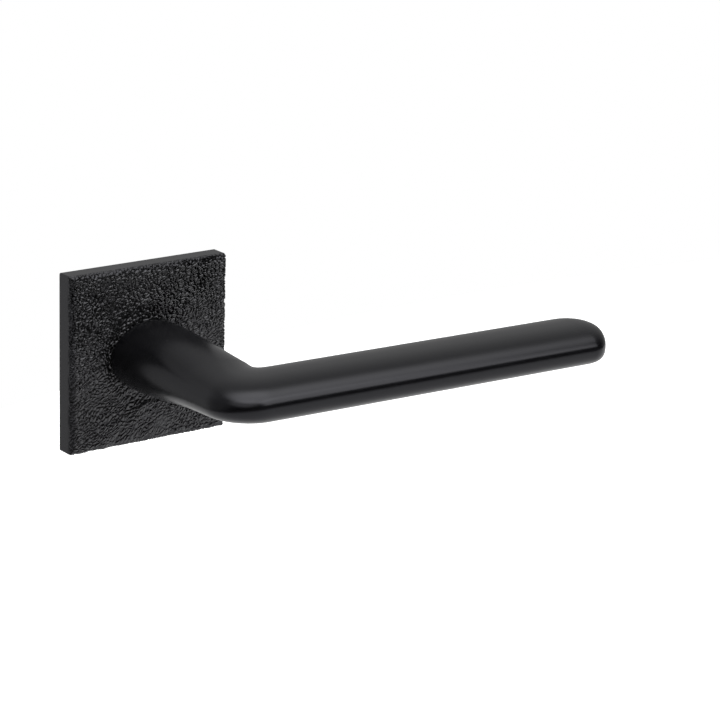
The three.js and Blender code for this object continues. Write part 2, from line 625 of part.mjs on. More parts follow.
function spindle() {
  const half = SPINDLE_SIDE / 2;
  const front = leverRootY - SPINDLE_IN_LEVER;
  const back = SPINDLE_BEHIND_DOOR_FACE;
  const edge = half - SPINDLE_CHAMFER;
  const [frontEdge, backEdge] = [front + SPINDLE_CHAMFER, back - SPINDLE_CHAMFER];
  const side = new THREE.Shape([
    [edge, front], [half, frontEdge], [half, backEdge], [edge, back],
    [-edge, back], [-half, backEdge], [-half, frontEdge], [-edge, front],
  ].map(([x, y]) => new THREE.Vector2(x, y)));
  const along = new THREE.ExtrudeGeometry(side, { depth: SPINDLE_SIDE + 2, bevelEnabled: false });
  along.translate(0, 0, -half - 1);
  const body = block([-half, front, -half], [half, back, half])
    .intersect(solid(along))
    .intersect(solid(along.clone().rotateY(Math.PI / 2)));
  const grooveHalf = LEAF_LENGTH / 2 + REST_GAP;
  const groove = block([-LEAF_WIDTH / 2 - REST_GAP, leafMiddleY - grooveHalf, half - LEAF_GROOVE_DEPTH],
    [LEAF_WIDTH / 2 + REST_GAP, leafMiddleY + grooveHalf, half + 1]);
  return cut(body, groove);
}

// Anti-rattle leaf: a bowed strip whose middle stands out of the spindle's groove.
function spindleLeaf() {
  const footZ = SPINDLE_SIDE / 2 - LEAF_GROOVE_DEPTH + REST_GAP;
  const topZ = SPINDLE_SIDE / 2 + LEAF_STANDS_OUT;
  const bow = topZ - LEAF_STRIP - footZ;
  const radius = ((LEAF_LENGTH / 2) ** 2 + bow ** 2) / (2 * bow);
  const sweep = Math.asin(LEAF_LENGTH / 2 / (radius + LEAF_STRIP));
  const strip = new THREE.Shape();
  const centre = topZ - LEAF_STRIP - radius;
  const upward = Math.PI / 2;
  strip.absarc(leafMiddleY, centre, radius + LEAF_STRIP, upward - sweep, upward + sweep);
  strip.absarc(leafMiddleY, centre, radius, upward + sweep, upward - sweep, true);
  const geometry = new THREE.ExtrudeGeometry(strip, {
    depth: LEAF_WIDTH, bevelEnabled: false, curveSegments: 12,
  });
  // The outline is drawn in Y and Z and extruded along X.
  geometry.rotateY(Math.PI / 2).rotateX(Math.PI / 2);
  return solid(geometry.translate(-LEAF_WIDTH / 2, 0, 0));
}

// ---------------------------------------------------------------------------------------------
// Assembly
// ---------------------------------------------------------------------------------------------

const finish = (color, roughness, metalness) =>
  new THREE.MeshStandardMaterial({ color, roughness, metalness });

const satinBlack = finish(0x1b1c1e, 0.42, 0.1);
const castBlack = finish(0x1d1e20, 0.38, 0.1);
const zincCasting = finish(0x8f9295, 0.5, 0.9);
const platedSteel = finish(0xa9adb0, 0.32, 1);
const springSteel = finish(0x5c5f63, 0.35, 1);
const sinteredSteel = finish(0x6d6f72, 0.6, 0.9);
const whiteNylon = finish(0xe4e2da, 0.55, 0);
const foam = finish(0x2b2b2c, 0.95, 0);

const group = new THREE.Group();

function addPiece(name, manifold, material) {
  const mesh = new THREE.Mesh(geometryOf(manifold), material);
  mesh.name = name;
  group.add(mesh);
}

addPiece('lever_handle', lever(), satinBlack);
addPiece('grub_screw', grubScrew(), springSteel);
addPiece('rose_cover', roseCover(), castBlack);
addPiece('rose_base', roseBase(), zincCasting);
addPiece('door_gasket', gasket(), foam);
addPiece('neck_bush', neckBush(), whiteNylon);
for (const [side, turn] of clipSides) addPiece(`cover_clip_${side}`, coverClip(turn), springSteel);
addPiece('fixing_screw_upper', fixingScrew(fixingZ), platedSteel);
addPiece('fixing_screw_lower', fixingScrew(-fixingZ), platedSteel);
addPiece('spring_driver', springDriver(), sinteredSteel);
addPiece('return_spring', returnSpring(), springSteel);
addPiece('housing_lid', housingLid(), platedSteel);
lidScrewTurns.forEach((turn, i) => addPiece(`lid_screw_${i + 1}`, lidScrew(turn), platedSteel));
addPiece('thrust_washer', thrustWasher(), springSteel);
addPiece('circlip', circlip(), springSteel);
addPiece('square_spindle', spindle(), platedSteel);
addPiece('spindle_leaf', spindleLeaf(), springSteel);

export default group;
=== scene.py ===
# Looks of the door lever handle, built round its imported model. Every size is in metres, and the
# frame is the model's: door face at y = 0, handle towards -Y, lever along +X, +Z up.

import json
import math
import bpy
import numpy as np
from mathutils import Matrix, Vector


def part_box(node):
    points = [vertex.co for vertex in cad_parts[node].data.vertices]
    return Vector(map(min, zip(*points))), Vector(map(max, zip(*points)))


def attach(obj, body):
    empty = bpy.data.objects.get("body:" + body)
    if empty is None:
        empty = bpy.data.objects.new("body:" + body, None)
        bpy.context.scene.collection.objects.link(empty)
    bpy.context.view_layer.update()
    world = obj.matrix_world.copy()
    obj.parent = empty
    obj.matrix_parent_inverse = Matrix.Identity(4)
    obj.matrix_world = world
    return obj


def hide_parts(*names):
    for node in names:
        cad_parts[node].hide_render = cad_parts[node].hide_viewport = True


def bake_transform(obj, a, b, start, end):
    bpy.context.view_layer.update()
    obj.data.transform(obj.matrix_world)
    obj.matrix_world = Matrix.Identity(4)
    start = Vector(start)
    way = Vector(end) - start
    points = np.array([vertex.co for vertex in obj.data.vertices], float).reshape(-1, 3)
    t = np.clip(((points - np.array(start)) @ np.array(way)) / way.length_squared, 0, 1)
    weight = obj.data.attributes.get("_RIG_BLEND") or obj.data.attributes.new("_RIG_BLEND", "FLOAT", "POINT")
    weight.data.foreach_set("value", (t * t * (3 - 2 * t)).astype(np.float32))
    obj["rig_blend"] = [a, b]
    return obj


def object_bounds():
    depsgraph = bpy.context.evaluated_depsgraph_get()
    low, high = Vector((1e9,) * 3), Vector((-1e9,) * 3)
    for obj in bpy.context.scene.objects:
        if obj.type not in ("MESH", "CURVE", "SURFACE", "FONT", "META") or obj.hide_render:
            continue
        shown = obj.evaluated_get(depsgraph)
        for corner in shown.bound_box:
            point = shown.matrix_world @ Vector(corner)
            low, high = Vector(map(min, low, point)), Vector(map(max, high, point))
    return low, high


bl_info = {
    "name": "Door Lever Handle",
    "version": (1, 0, 0),
    "blender": (4, 5, 0),
    "location": "3D View > Sidebar > Lever Handle",
    "description": "Builds the finished surfaces of a sprung door lever handle on a square rose",
    "category": "Object",
}

from functools import partial

import bmesh
import bpy
import numpy as np
from mathutils import Matrix, Vector

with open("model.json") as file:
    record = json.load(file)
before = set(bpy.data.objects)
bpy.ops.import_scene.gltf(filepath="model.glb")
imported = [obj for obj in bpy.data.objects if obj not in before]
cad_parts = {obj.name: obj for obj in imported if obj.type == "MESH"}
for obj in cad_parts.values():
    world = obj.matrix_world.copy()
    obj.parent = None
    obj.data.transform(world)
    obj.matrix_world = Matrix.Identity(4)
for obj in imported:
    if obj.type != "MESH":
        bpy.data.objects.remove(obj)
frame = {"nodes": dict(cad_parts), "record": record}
CAD_BOX = [list(corner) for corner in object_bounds()]
MM = 0.001

cover_low, cover_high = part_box("rose_cover")
lever_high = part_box("lever_handle")[1]
SLOT_OF = {row["node"]: row["material_slot"] for row in frame["record"]["subparts"]}
BODIES = frame["record"]["behaviour"]["bodies"]
BODY_OF = {node: body for body, nodes in BODIES.items() for node in nodes}


# ---- Settings --------------------------------------------------------------

def length(name, default, description):
    return bpy.props.FloatProperty(name=name, description=description, default=default, min=0.0,
                                   unit="LENGTH", precision=5)


def angle(name, degrees, description):
    return bpy.props.FloatProperty(name=name, description=description, default=math.radians(degrees),
                                   subtype="ANGLE", precision=2)


def ratio(name, default, description):
    return bpy.props.FloatProperty(name=name, description=description, default=default, min=0.0,
                                   max=1.0, subtype="FACTOR")


def colour(name, hex_value, description):
    return bpy.props.FloatVectorProperty(name=name, description=description, size=3, min=0.0, max=1.0,
                                         default=linear(hex_value), subtype="COLOR")


def linear(hex_value):
    """The linear colour of an sRGB hex value."""
    channels = [int(hex_value[i:i + 2], 16) / 255 for i in (1, 3, 5)]
    return [c / 12.92 if c <= 0.04045 else ((c + 0.055) / 1.055) ** 2.4 for c in channels]


def number(name, default, description, low=0.0):
    return bpy.props.FloatProperty(name=name, description=description, default=default, min=low)


class LeverSettings(bpy.types.PropertyGroup):
    reach: length("Reach", 53.7 * MM, "Door face to the bar's centreline")
    length: length("Length", 121.2 * MM, "Spindle axis to the tip, along the bar")
    yaw: angle("Lean", 2.6, "How far the bar leans away from the door towards its tip")
    root_half_width: length("Root half width", 13 * MM, "Half the neck's width at the rose")
    root_half_height: length("Root half height", lever_high.z, "Half the neck's height at the rose")
    bar_half_depth: length("Bar half depth", 12.7 * MM, "Half the bar's depth at the bend")
    bar_half_height: length("Bar half height", 6 * MM, "Half the bar's height at the bend")
    tip_half_depth: length("Tip half depth", 12.6 * MM, "Half the bar's depth at the tip")
    tip_half_height: length("Tip half height", 5.85 * MM, "Half the bar's height at the tip")
    section_power: number("Section power", 2.3, "Superellipse power of the bar's section", 2)
    tip_rounding: length("Tip rounding", 9.2 * MM, "Length of the rounded tip")
    tip_plan_power: number("Tip plan power", 1.9, "Power of the tip's outline from above", 1)
    tip_top_power: number("Tip top power", 3.3, "Power of the tip's side outline above its middle", 1)
    tip_belly_power: number("Tip belly power", 6, "Power of the tip's side outline below its middle", 1)
    outer_bend: length("Outer bend", 13 * MM, "Radius of the bend's outer corner")
    inner_bend: length("Inner bend", 2 * MM, "Radius of the bend's inner corner")
    root_gap: length("Root gap", 0.3 * MM, "Gap between the rose and the neck's root")
    root_edge: length("Root edge", 0.35 * MM, "Rounding of the root's rim and of the spigot's end")
    spigot_end: length("Spigot end", 1.3 * MM, "Distance of the spigot's end from the door face")
    spigot_radius: length("Spigot radius", 8.87 * MM, "Radius of the round spigot behind the neck")
    socket_side: length("Socket side", 8.3 * MM, "Side of the square socket")
    socket_depth: length("Socket depth", 17.7 * MM, "Depth of the square socket in front of the root")
    grub_radius: length("Grub hole radius", 3.05 * MM, "Radius of the grub screw's hole")
    grub_from_root: length("Grub from root", 7.5 * MM, "Distance of the grub screw from the root")
    grub_from_middle: length("Grub from middle", 1 * MM, "Top of the grub hole, below the middle")


class RoseSettings(bpy.types.PropertyGroup):
    edge_radius: length("Edge radius", 1.8 * MM, "Rounding of the cover's front edges")
    wall: length("Wall", 1.2 * MM, "Thickness of the cover's side walls")
    face: length("Face", 1.3 * MM, "Thickness of the cover's front face")
    corner_radius: length("Corner radius", 0.45 * MM, "Rounding of the cover's side corners")
    hole_radius: length("Hole radius", 9.5 * MM, "Radius of the hole that the neck passes")
    mesh_step: length("Mesh step", 0.176 * MM, "Side of the front face's squares")
    wrinkle_size: length("Wrinkle size", 3.2 * MM, "Distance between the large wrinkles")
    wrinkle_height: length("Wrinkle height", 0.4 * MM, "Height of the large wrinkles")
    grain_size: length("Grain size", 0.95 * MM, "Distance between the small lumps")
    grain_height: length("Grain height", 0.33 * MM, "Height of the small lumps")
    wrinkle_turn: angle("Wrinkle direction", 42, "Direction of the wrinkles, up from the lever")
    lift: length("Lift", 0.22 * MM, "How far the relief's middle level stands out of the face")
    stand_proud: length("Stand proud", 0.42 * MM, "Highest that the relief stands out of the face")


class ScrewSettings(bpy.types.PropertyGroup):
    shank_radius: length("Shank radius", 1.9 * MM, "Radius of the shank and of the thread's crest")
    shank_length: length("Shank length", 6 * MM, "From the head's face to the start of the thread")
    tip_length: length("Tip length", 4 * MM, "Length of the pointed tip")
    pitch: length("Pitch", 1.8 * MM, "Distance between the thread's turns")
    thread_depth: length("Thread depth", 0.6 * MM, "Height of the thread over its core")
    recess_depth: length("Recess depth", 1.4 * MM, "Depth of the cross recess")


class FinishSettings(bpy.types.PropertyGroup):
    lacquer: colour("Lacquer", "#0e0e10", "Colour of the black lacquer")
    sheen: colour("Sheen", "#f6f6ff", "Colour of the lacquer's reflections")
    lever_roughness: ratio("Lever roughness", 0.24, "Roughness of the lever's lacquer")
    crown_roughness: ratio("Crown roughness", 0.15, "Roughness on top of the relief's lumps")
    crease_roughness: ratio("Crease roughness", 0.24, "Roughness between the relief's lumps")
    relief_coat: ratio("Relief coat", 0.85, "Clear gloss coat on top of the relief's lumps")
    grain_depth: length("Grain depth", 0.05 * MM, "Depth of the fine grain on the relief")
    zinc: colour("Zinc", "#9a9da1", "Colour of the bare zinc casting")
    plated: colour("Plated steel", "#c3c6c8", "Colour of the zinc-plated steel")
    spring: colour("Spring steel", "#6e7175", "Colour of the spring steel")
    sintered: colour("Sintered steel", "#77787a", "Colour of the sintered steel")
    nylon: colour("Nylon", "#dfddd4", "Colour of the nylon bush")
    foam: colour("Foam", "#1c1c1e", "Colour of the foam gasket")


class StageSettings(bpy.types.PropertyGroup):
    azimuth: angle("Azimuth", -37.4, "Camera's direction round the handle")
    elevation: angle("Elevation", 16.97, "Camera's height above the horizon")
    roll: angle("Roll", 1.84, "Camera's roll")
    distance: length("Distance", 838.5 * MM, "Camera to the point that it looks at")
    target: bpy.props.FloatVectorProperty(
        name="Target", description="Point that the camera looks at", size=3,
        default=(79.88 * MM, 0.13 * MM, -16.05 * MM), subtype="XYZ", unit="LENGTH")
    lens: number("Lens", 137.95, "Focal length in millimetres")
    floor_drop: length("Floor drop", 0.3, "Floor below the handle's lowest point")
    floor_radius: length("Floor radius", 1.5, "Radius of the round floor")
    floor_centre: bpy.props.FloatVectorProperty(
        name="Floor centre", description="Middle of the round floor", size=2, default=(0.85, -0.6),
        unit="LENGTH")
    floor: colour("Floor", "#e6e6e6", "Colour of the floor")
    floor_glow: number("Floor glow", 0.8, "Brightness added to the floor for the camera")
    wall_light: number("Wall light", 0.37, "Brightness of the studio behind the handle")
    side_light: number("Side light", 0.28, "Brightness of the studio's left wall")
    front_light: number("Front light", 0.9, "Brightness of the studio high at the front left")
    ceiling_light: number("Ceiling light", 2.4, "Brightness of the studio's ceiling")
    key_light: number("Key light", 2.15, "Brightness of the soft box at the front right")


class HandleSettings(bpy.types.PropertyGroup):
    lever: bpy.props.PointerProperty(type=LeverSettings)
    rose: bpy.props.PointerProperty(type=RoseSettings)
    screw: bpy.props.PointerProperty(type=ScrewSettings)
    finish: bpy.props.PointerProperty(type=FinishSettings)
    stage: bpy.props.PointerProperty(type=StageSettings)


def settings():
    return bpy.context.scene.lever_handle


# ---- Nodes and meshes ------------------------------------------------------

# The kinds of node that are used most.
MATH, VECTOR_MATH = "ShaderNodeMath", "ShaderNodeVectorMath"
RANGE, MIX = "ShaderNodeMapRange", "ShaderNodeMix"
NOISE, BUMP = "ShaderNodeTexNoise", "ShaderNodeBump"
# Two points this near each other are one.
SAME_PLACE = 1e-6


def add_node(tree, kind, inputs=None, **properties):
    """Adds a node with its properties, and gives its inputs values or links. A node in the place of a
    value stands for the first output that it uses."""
    node = tree.nodes.new(kind)
    for name, value in properties.items():
        setattr(node, name, value)
    for key, value in (inputs or {}).items():
        if isinstance(value, bpy.types.Node):
            value = next(socket for socket in value.outputs if socket.enabled)
        if isinstance(value, bpy.types.NodeSocket):
            tree.links.new(value, node.inputs[key])
        else:
            node.inputs[key].default_value = value
    return node


def geometry_tree(name, sizes):
    """A geometry nodes tree with a geometry, the named sizes and a material as inputs. Gives the tree,
    what adds a node to it, and its inputs."""
    tree = bpy.data.node_groups.new(name, "GeometryNodeTree")
    sockets = [("Geometry", "INPUT", "Geometry"), *((size, "INPUT", "Float") for size in sizes),
               ("Material", "INPUT", "Material"), ("Geometry", "OUTPUT", "Geometry")]
    for label, side, kind in sockets:
        tree.interface.new_socket(label, in_out=side, socket_type="NodeSocket" + kind)
    add = partial(add_node, tree)
    return tree, add, add("NodeGroupInput").outputs


def close_geometry(add, geometry, material):
    """Ends a geometry nodes tree: instances made real, and the material set."""
    real = add("GeometryNodeRealizeInstances", {"Geometry": geometry})
    covered = add("GeometryNodeSetMaterial", {"Geometry": real, "Material": material})
    add("NodeGroupOutput", {"Geometry": covered})


def add_tree(piece, tree, values):
    """Adds a geometry nodes modifier; its inputs are found by name and set by identifier."""
    modifier = piece.modifiers.new(tree.name, "NODES")
    modifier.node_group = tree
    for item in tree.interface.items_tree:
        if item.item_type == "SOCKET" and item.in_out == "INPUT" and item.name in values:
            modifier[item.identifier] = values[item.name]


def linked(name, data):
    """An object with this data, in the scene."""
    item = bpy.data.objects.new(name, data)
    bpy.context.scene.collection.objects.link(item)
    return item


def new_object(name, mesh, slot, body, replaced):
    """A finished piece: its object, material, body and the CAD nodes that it stands for. A piece that
    two bodies share has no body here."""
    piece = linked(name, mesh)
    mesh.materials.clear()
    mesh.materials.append(material_of(slot))
    if body:
        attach(piece, body)
    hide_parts(*replaced)
    return piece


def mesh_of(bm, name):
    mesh = bpy.data.meshes.new(name)
    bm.to_mesh(mesh)
    bm.free()
    return mesh


def shade(mesh, sharp_degrees):
    mesh.shade_smooth()
    mesh.set_sharp_from_angle(angle=math.radians(sharp_degrees))


def closed_mesh(name, vertices, faces):
    """A mesh from its points and faces, with its faces turned outwards."""
    mesh = bpy.data.meshes.new(name)
    mesh.from_pydata([tuple(v) for v in vertices], [], faces)
    mesh.validate()
    bm = bmesh.new()
    bm.from_mesh(mesh)
    bmesh.ops.recalc_face_normals(bm, faces=bm.faces)
    bm.to_mesh(mesh)
    bm.free()
    return mesh


def tube_faces(rings, sides):
    """The faces of a closed tube whose points come ring by ring: both ends and the walls."""
    faces = [tuple(range(sides))[::-1]]
    for low in range(0, (rings - 1) * sides, sides):
        high = low + sides
        for i in range(sides):
            j = (i + 1) % sides
            faces.append((low + i, low + j, high + j, high + i))
    faces.append(tuple(range((rings - 1) * sides, rings * sides)))
    return faces


def cut(piece, cutter, crossed=False):
    """Cuts the cutter's shape out of the piece; crossed says that the cutter's parts overlap."""
    modifier = piece.modifiers.new("cut", "BOOLEAN")
    modifier.operation = "DIFFERENCE"
    modifier.solver = "EXACT"
    modifier.use_self = crossed
    modifier.object = cutter


def baked(name, piece, *cutters, sharp_degrees):
    """The piece's mesh with its modifiers applied; the piece and its cutters are removed."""
    graph = bpy.context.evaluated_depsgraph_get()
    mesh = bpy.data.meshes.new_from_object(piece.evaluated_get(graph), depsgraph=graph)
    mesh.name = name
    for item in (piece, *cutters):
        bpy.data.objects.remove(item)
    shade(mesh, sharp_degrees)
    return mesh


# ---- Materials -------------------------------------------------------------

def new_material(name):
    """An empty material, what adds a node to it, and its object coordinates."""
    material = bpy.data.materials.new(name)
    material.use_nodes = True
    material.node_tree.nodes.clear()
    add = partial(add_node, material.node_tree)
    return material, add, add("ShaderNodeTexCoord").outputs["Object"]


def close_material(material, add, inputs):
    """Gives a material its shader with these inputs."""
    shader = add("ShaderNodeBsdfPrincipled", inputs)
    add("ShaderNodeOutputMaterial", {"Surface": shader})
    return material


def per_size(size):
    """The Scale of a texture whose features are this far apart."""
    return 1 / size


def scaled(rgb, factor):
    """A colour made darker or lighter, with full alpha."""
    return (*(min(1.0, channel * factor) for channel in rgb), 1)


def satin_black_lacquer():
    """Stoved satin lacquer over polished zinc: deep black, smooth, with a faint orange peel that only
    shows as a slight waver in long reflections, and hair-fine variation of the sheen from handling."""
    finish = settings().finish
    material, add, place = new_material("satin_black_lacquer")
    peel = add(NOISE, {"Vector": place, "Scale": per_size(2.2 * MM), "Detail": 1.0, "Roughness": 0.4})
    handling = add(NOISE, {"Vector": place, "Scale": per_size(14 * MM), "Detail": 4.0,
                           "Roughness": 0.6})
    return close_material(material, add, {
        "Base Color": add(MIX, {"Factor": handling, "A": scaled(finish.lacquer, 0.85),
                                "B": scaled(finish.lacquer, 1.2)}, data_type="RGBA"),
        "Roughness": add(RANGE, {"Value": handling, "To Min": finish.lever_roughness - 0.03,
                                 "To Max": finish.lever_roughness + 0.04}),
        "Normal": add(BUMP, {"Height": peel, "Strength": 0.25, "Distance": 0.004 * MM}),
        "IOR": 1.45,
        "Specular Tint": scaled(finish.sheen, 1),
    })


def wrinkled_black_lacquer():
    """The same lacquer on the cover: satin on its smooth walls, a little warmer and under a clear gloss
    coat on the cast leather relief. The lumps' tops are polished and sparkle, the creases between them
    stay dull, and a fine skin of grain breaks up the sparkle."""
    finish = settings().finish
    material, add, place = new_material("wrinkled_black_lacquer")
    crown = add("ShaderNodeAttribute", attribute_name="crown").outputs["Fac"]
    share = add("ShaderNodeAttribute", attribute_name="relief").outputs["Fac"]
    grain = add(NOISE, {"Vector": place, "Scale": per_size(settings().rose.grain_size / 4),
                        "Detail": 2.0, "Roughness": 0.6})
    satin = add(RANGE, {"Value": grain, "To Min": finish.lever_roughness - 0.04,
                        "To Max": finish.lever_roughness + 0.04})
    polish = add(RANGE, {"Value": crown, "To Min": finish.crease_roughness,
                         "To Max": finish.crown_roughness})
    bump = add(BUMP, {"Height": grain, "Strength": share, "Distance": finish.grain_depth})
    red, green, blue = finish.lacquer
    return close_material(material, add, {
        "Base Color": add(MIX, {"Factor": share, "A": (red, green, blue, 1),
                                "B": (red, green, 0.8 * blue, 1)}, data_type="RGBA"),
        "Roughness": add(MIX, {"Factor": share, "A": satin, "B": polish}, data_type="FLOAT"),
        "Normal": bump,
        "Coat Normal": bump,
        "Coat Weight": add(MATH, {0: crown, 1: finish.relief_coat}, operation="MULTIPLY"),
        "Coat Roughness": 0.08,
        "Coat IOR": 1.6,
        "IOR": 1.52,
        "Specular Tint": scaled(finish.sheen, 1),
    })


def metal(name, rgb, roughness, grain_size, grain_depth):
    """A bare metal: its colour and roughness waver with its grain, which also stands out slightly."""
    waver, contrast = 0.08, 0.12
    material, add, place = new_material(name)
    grain = add(NOISE, {"Vector": place, "Scale": per_size(grain_size), "Detail": 5.0,
                        "Roughness": 0.6})
    cloud = add(NOISE, {"Vector": place, "Scale": per_size(9 * MM), "Detail": 3.0})
    return close_material(material, add, {
        "Base Color": add(MIX, {"Factor": cloud, "A": scaled(rgb, 1 - contrast),
                                "B": scaled(rgb, 1 + contrast)}, data_type="RGBA"),
        "Roughness": add(RANGE, {"Value": grain, "To Min": roughness - waver,
                                 "To Max": roughness + waver}),
        "Normal": add(BUMP, {"Height": grain, "Strength": 0.5, "Distance": grain_depth}),
        "Metallic": 1.0,
    })


def zinc_die_casting():
    """Bare zinc as it leaves the die: dull grey, slightly cloudy, with a fine matt skin."""
    return metal("zinc_die_casting", settings().finish.zinc, 0.48, 0.5 * MM, 0.02 * MM)


def zinc_plated_steel():
    """Bright passivated zinc on steel: light, a little milky, smooth."""
    return metal("zinc_plated_steel", settings().finish.plated, 0.3, 0.8 * MM, 0.008 * MM)


def oiled_spring_steel():
    """Tempered spring steel with an oil film: darker and slicker, with fine drawn scratches."""
    return metal("oiled_spring_steel", settings().finish.spring, 0.28, 0.35 * MM, 0.01 * MM)


def sintered_steel():
    """Pressed and sintered powder: even dark grey, rough and finely pitted."""
    return metal("sintered_steel", settings().finish.sintered, 0.58, 0.25 * MM, 0.03 * MM)


def moulded_nylon():
    """Natural nylon: milky white, faintly translucent, with a soft moulded sheen."""
    material, add, place = new_material("moulded_nylon")
    nylon = settings().finish.nylon
    cloud = add(NOISE, {"Vector": place, "Scale": per_size(5 * MM), "Detail": 3.0})
    return close_material(material, add, {
        "Base Color": add(MIX, {"Factor": cloud, "A": scaled(nylon, 0.93), "B": scaled(nylon, 1.03)},
                          data_type="RGBA"),
        "Roughness": add(RANGE, {"Value": cloud, "To Min": 0.42, "To Max": 0.52}),
        "IOR": 1.53,
        "Subsurface Weight": 0.1,
        "Subsurface Scale": 1 * MM,
    })


def closed_cell_foam():
    """Black closed-cell foam sheet: matt, with cells about half a millimetre wide cut open."""
    material, add, place = new_material("closed_cell_foam")
    foam = settings().finish.foam
    cells = add("ShaderNodeTexVoronoi", {"Vector": place, "Scale": per_size(0.45 * MM)},
                feature="SMOOTH_F1")
    return close_material(material, add, {
        "Base Color": add(MIX, {"Factor": cells, "A": scaled(foam, 1.4), "B": scaled(foam, 0.6)},
                          data_type="RGBA"),
        "Roughness": add(RANGE, {"Value": cells, "To Min": 0.85, "To Max": 0.97}),
        "Normal": add(BUMP, {"Height": cells, "Strength": 0.7, "Distance": 0.08 * MM}),
    })


MATERIALS = {
    "satin_black": satin_black_lacquer,
    "wrinkled_black": wrinkled_black_lacquer,
    "zinc_casting": zinc_die_casting,
    "plated_steel": zinc_plated_steel,
    "spring_steel": oiled_spring_steel,
    "sintered_steel": sintered_steel,
    "white_nylon": moulded_nylon,
    "foam": closed_cell_foam,
}


def material_of(slot):
    """The slot's material, made the first time that a piece needs it."""
    made = bpy.data.materials.get(MATERIALS[slot].__name__)
    return made or MATERIALS[slot]()


# ---- Lever -----------------------------------------------------------------

NECK_RINGS, BEND_RINGS, BAR_RINGS, TIP_RINGS = 40, 48, 40, 36
RING_POINTS = 128
# How far round each step of the root's rounded rim is, and how far the tip's last ring goes, which
# stops just short of a point.
RIM_STEPS = (0.3, 0.7, 1.0)
TIP_SWEEP = math.radians(89.5)


def smooth(t):
    t = min(1.0, max(0.0, t))
    return t * t * (3 - 2 * t)


def lever_stations(lever, root_y):
    """The L-shaped plan, cut by stations from the root to the tip: each has the points on the inner and
    outer edges, and the superellipse power and heights above and below of the section between them."""
    along = np.array([math.cos(lever.yaw), -math.sin(lever.yaw)])
    outward = np.array([-math.sin(lever.yaw), -math.cos(lever.yaw)])

    def on_bar(distance, offset):
        return np.array([0, -lever.reach]) + along * distance + outward * offset

    def on_bar_at_x(x, offset):
        return on_bar((x - outward[0] * offset) / along[0], offset)

    depth = lever.bar_half_depth
    inner, outer = depth + lever.inner_bend, depth - lever.outer_bend
    inner_centre = on_bar_at_x(inner, -inner)
    outer_centre = on_bar_at_x(-outer, outer)
    stations = []

    def blended(inner_edge, outer_edge):
        distance = -(inner_edge[1] + outer_edge[1]) / 2
        t = smooth((distance + root_y) / (lever.reach + root_y))
        height = lever.root_half_height + (lever.bar_half_height - lever.root_half_height) * t
        stations.append((inner_edge, outer_edge, 2 + (lever.section_power - 2) * t, height, height))

    for i in range(NECK_RINGS):
        t = i / NECK_RINGS
        y = root_y + (inner_centre[1] - root_y) * t
        half = lever.root_half_width + (depth - lever.root_half_width) * smooth(t)
        blended(np.array([half, y]), np.array([-half, y]))

    # The stations of the bend fan out from the centre of its inner corner.
    for i in range(BEND_RINGS):
        turn = i / BEND_RINGS * (math.pi / 2 - lever.yaw)
        ray = np.array([-math.cos(turn), -math.sin(turn)])
        to_arc = inner_centre - outer_centre
        b = to_arc @ ray
        arc_hit = -b + math.sqrt(max(0, b * b - to_arc @ to_arc + lever.outer_bend ** 2))
        neck_point = inner_centre + ray * (inner_centre[0] + depth) / -ray[0]
        bar_point = inner_centre + ray * (depth + inner) / max(ray @ outward, 1e-9)
        end = inner_centre + ray * arc_hit
        if neck_point[1] > outer_centre[1]:
            end = neck_point
        elif (bar_point - outer_centre) @ along > 0:
            end = bar_point
        blended(inner_centre + ray * lever.inner_bend, end)

    bar_start = (inner_centre - on_bar(0, 0)) @ along
    tip_start = lever.length - lever.tip_rounding

    def bar_station(distance, depth_share, above_share, below_share):
        t = (distance - bar_start) / (lever.length - bar_start)
        half_depth = (depth + (lever.tip_half_depth - depth) * t) * depth_share
        height = lever.bar_half_height + (lever.tip_half_height - lever.bar_half_height) * t
        stations.append((on_bar(distance, -half_depth), on_bar(distance, half_depth),
                         lever.section_power, height * above_share, height * below_share))

    for i in range(BAR_RINGS):
        bar_station(bar_start + (tip_start - bar_start) * i / BAR_RINGS, 1, 1, 1)
    for i in range(TIP_RINGS + 1):
        reach = math.sin(i / TIP_RINGS * TIP_SWEEP)
        shares = [(1 - reach ** power) ** (1 / power)
                  for power in (lever.tip_plan_power, lever.tip_top_power, lever.tip_belly_power)]
        bar_station(tip_start + reach * lever.tip_rounding, *shares)
    return stations


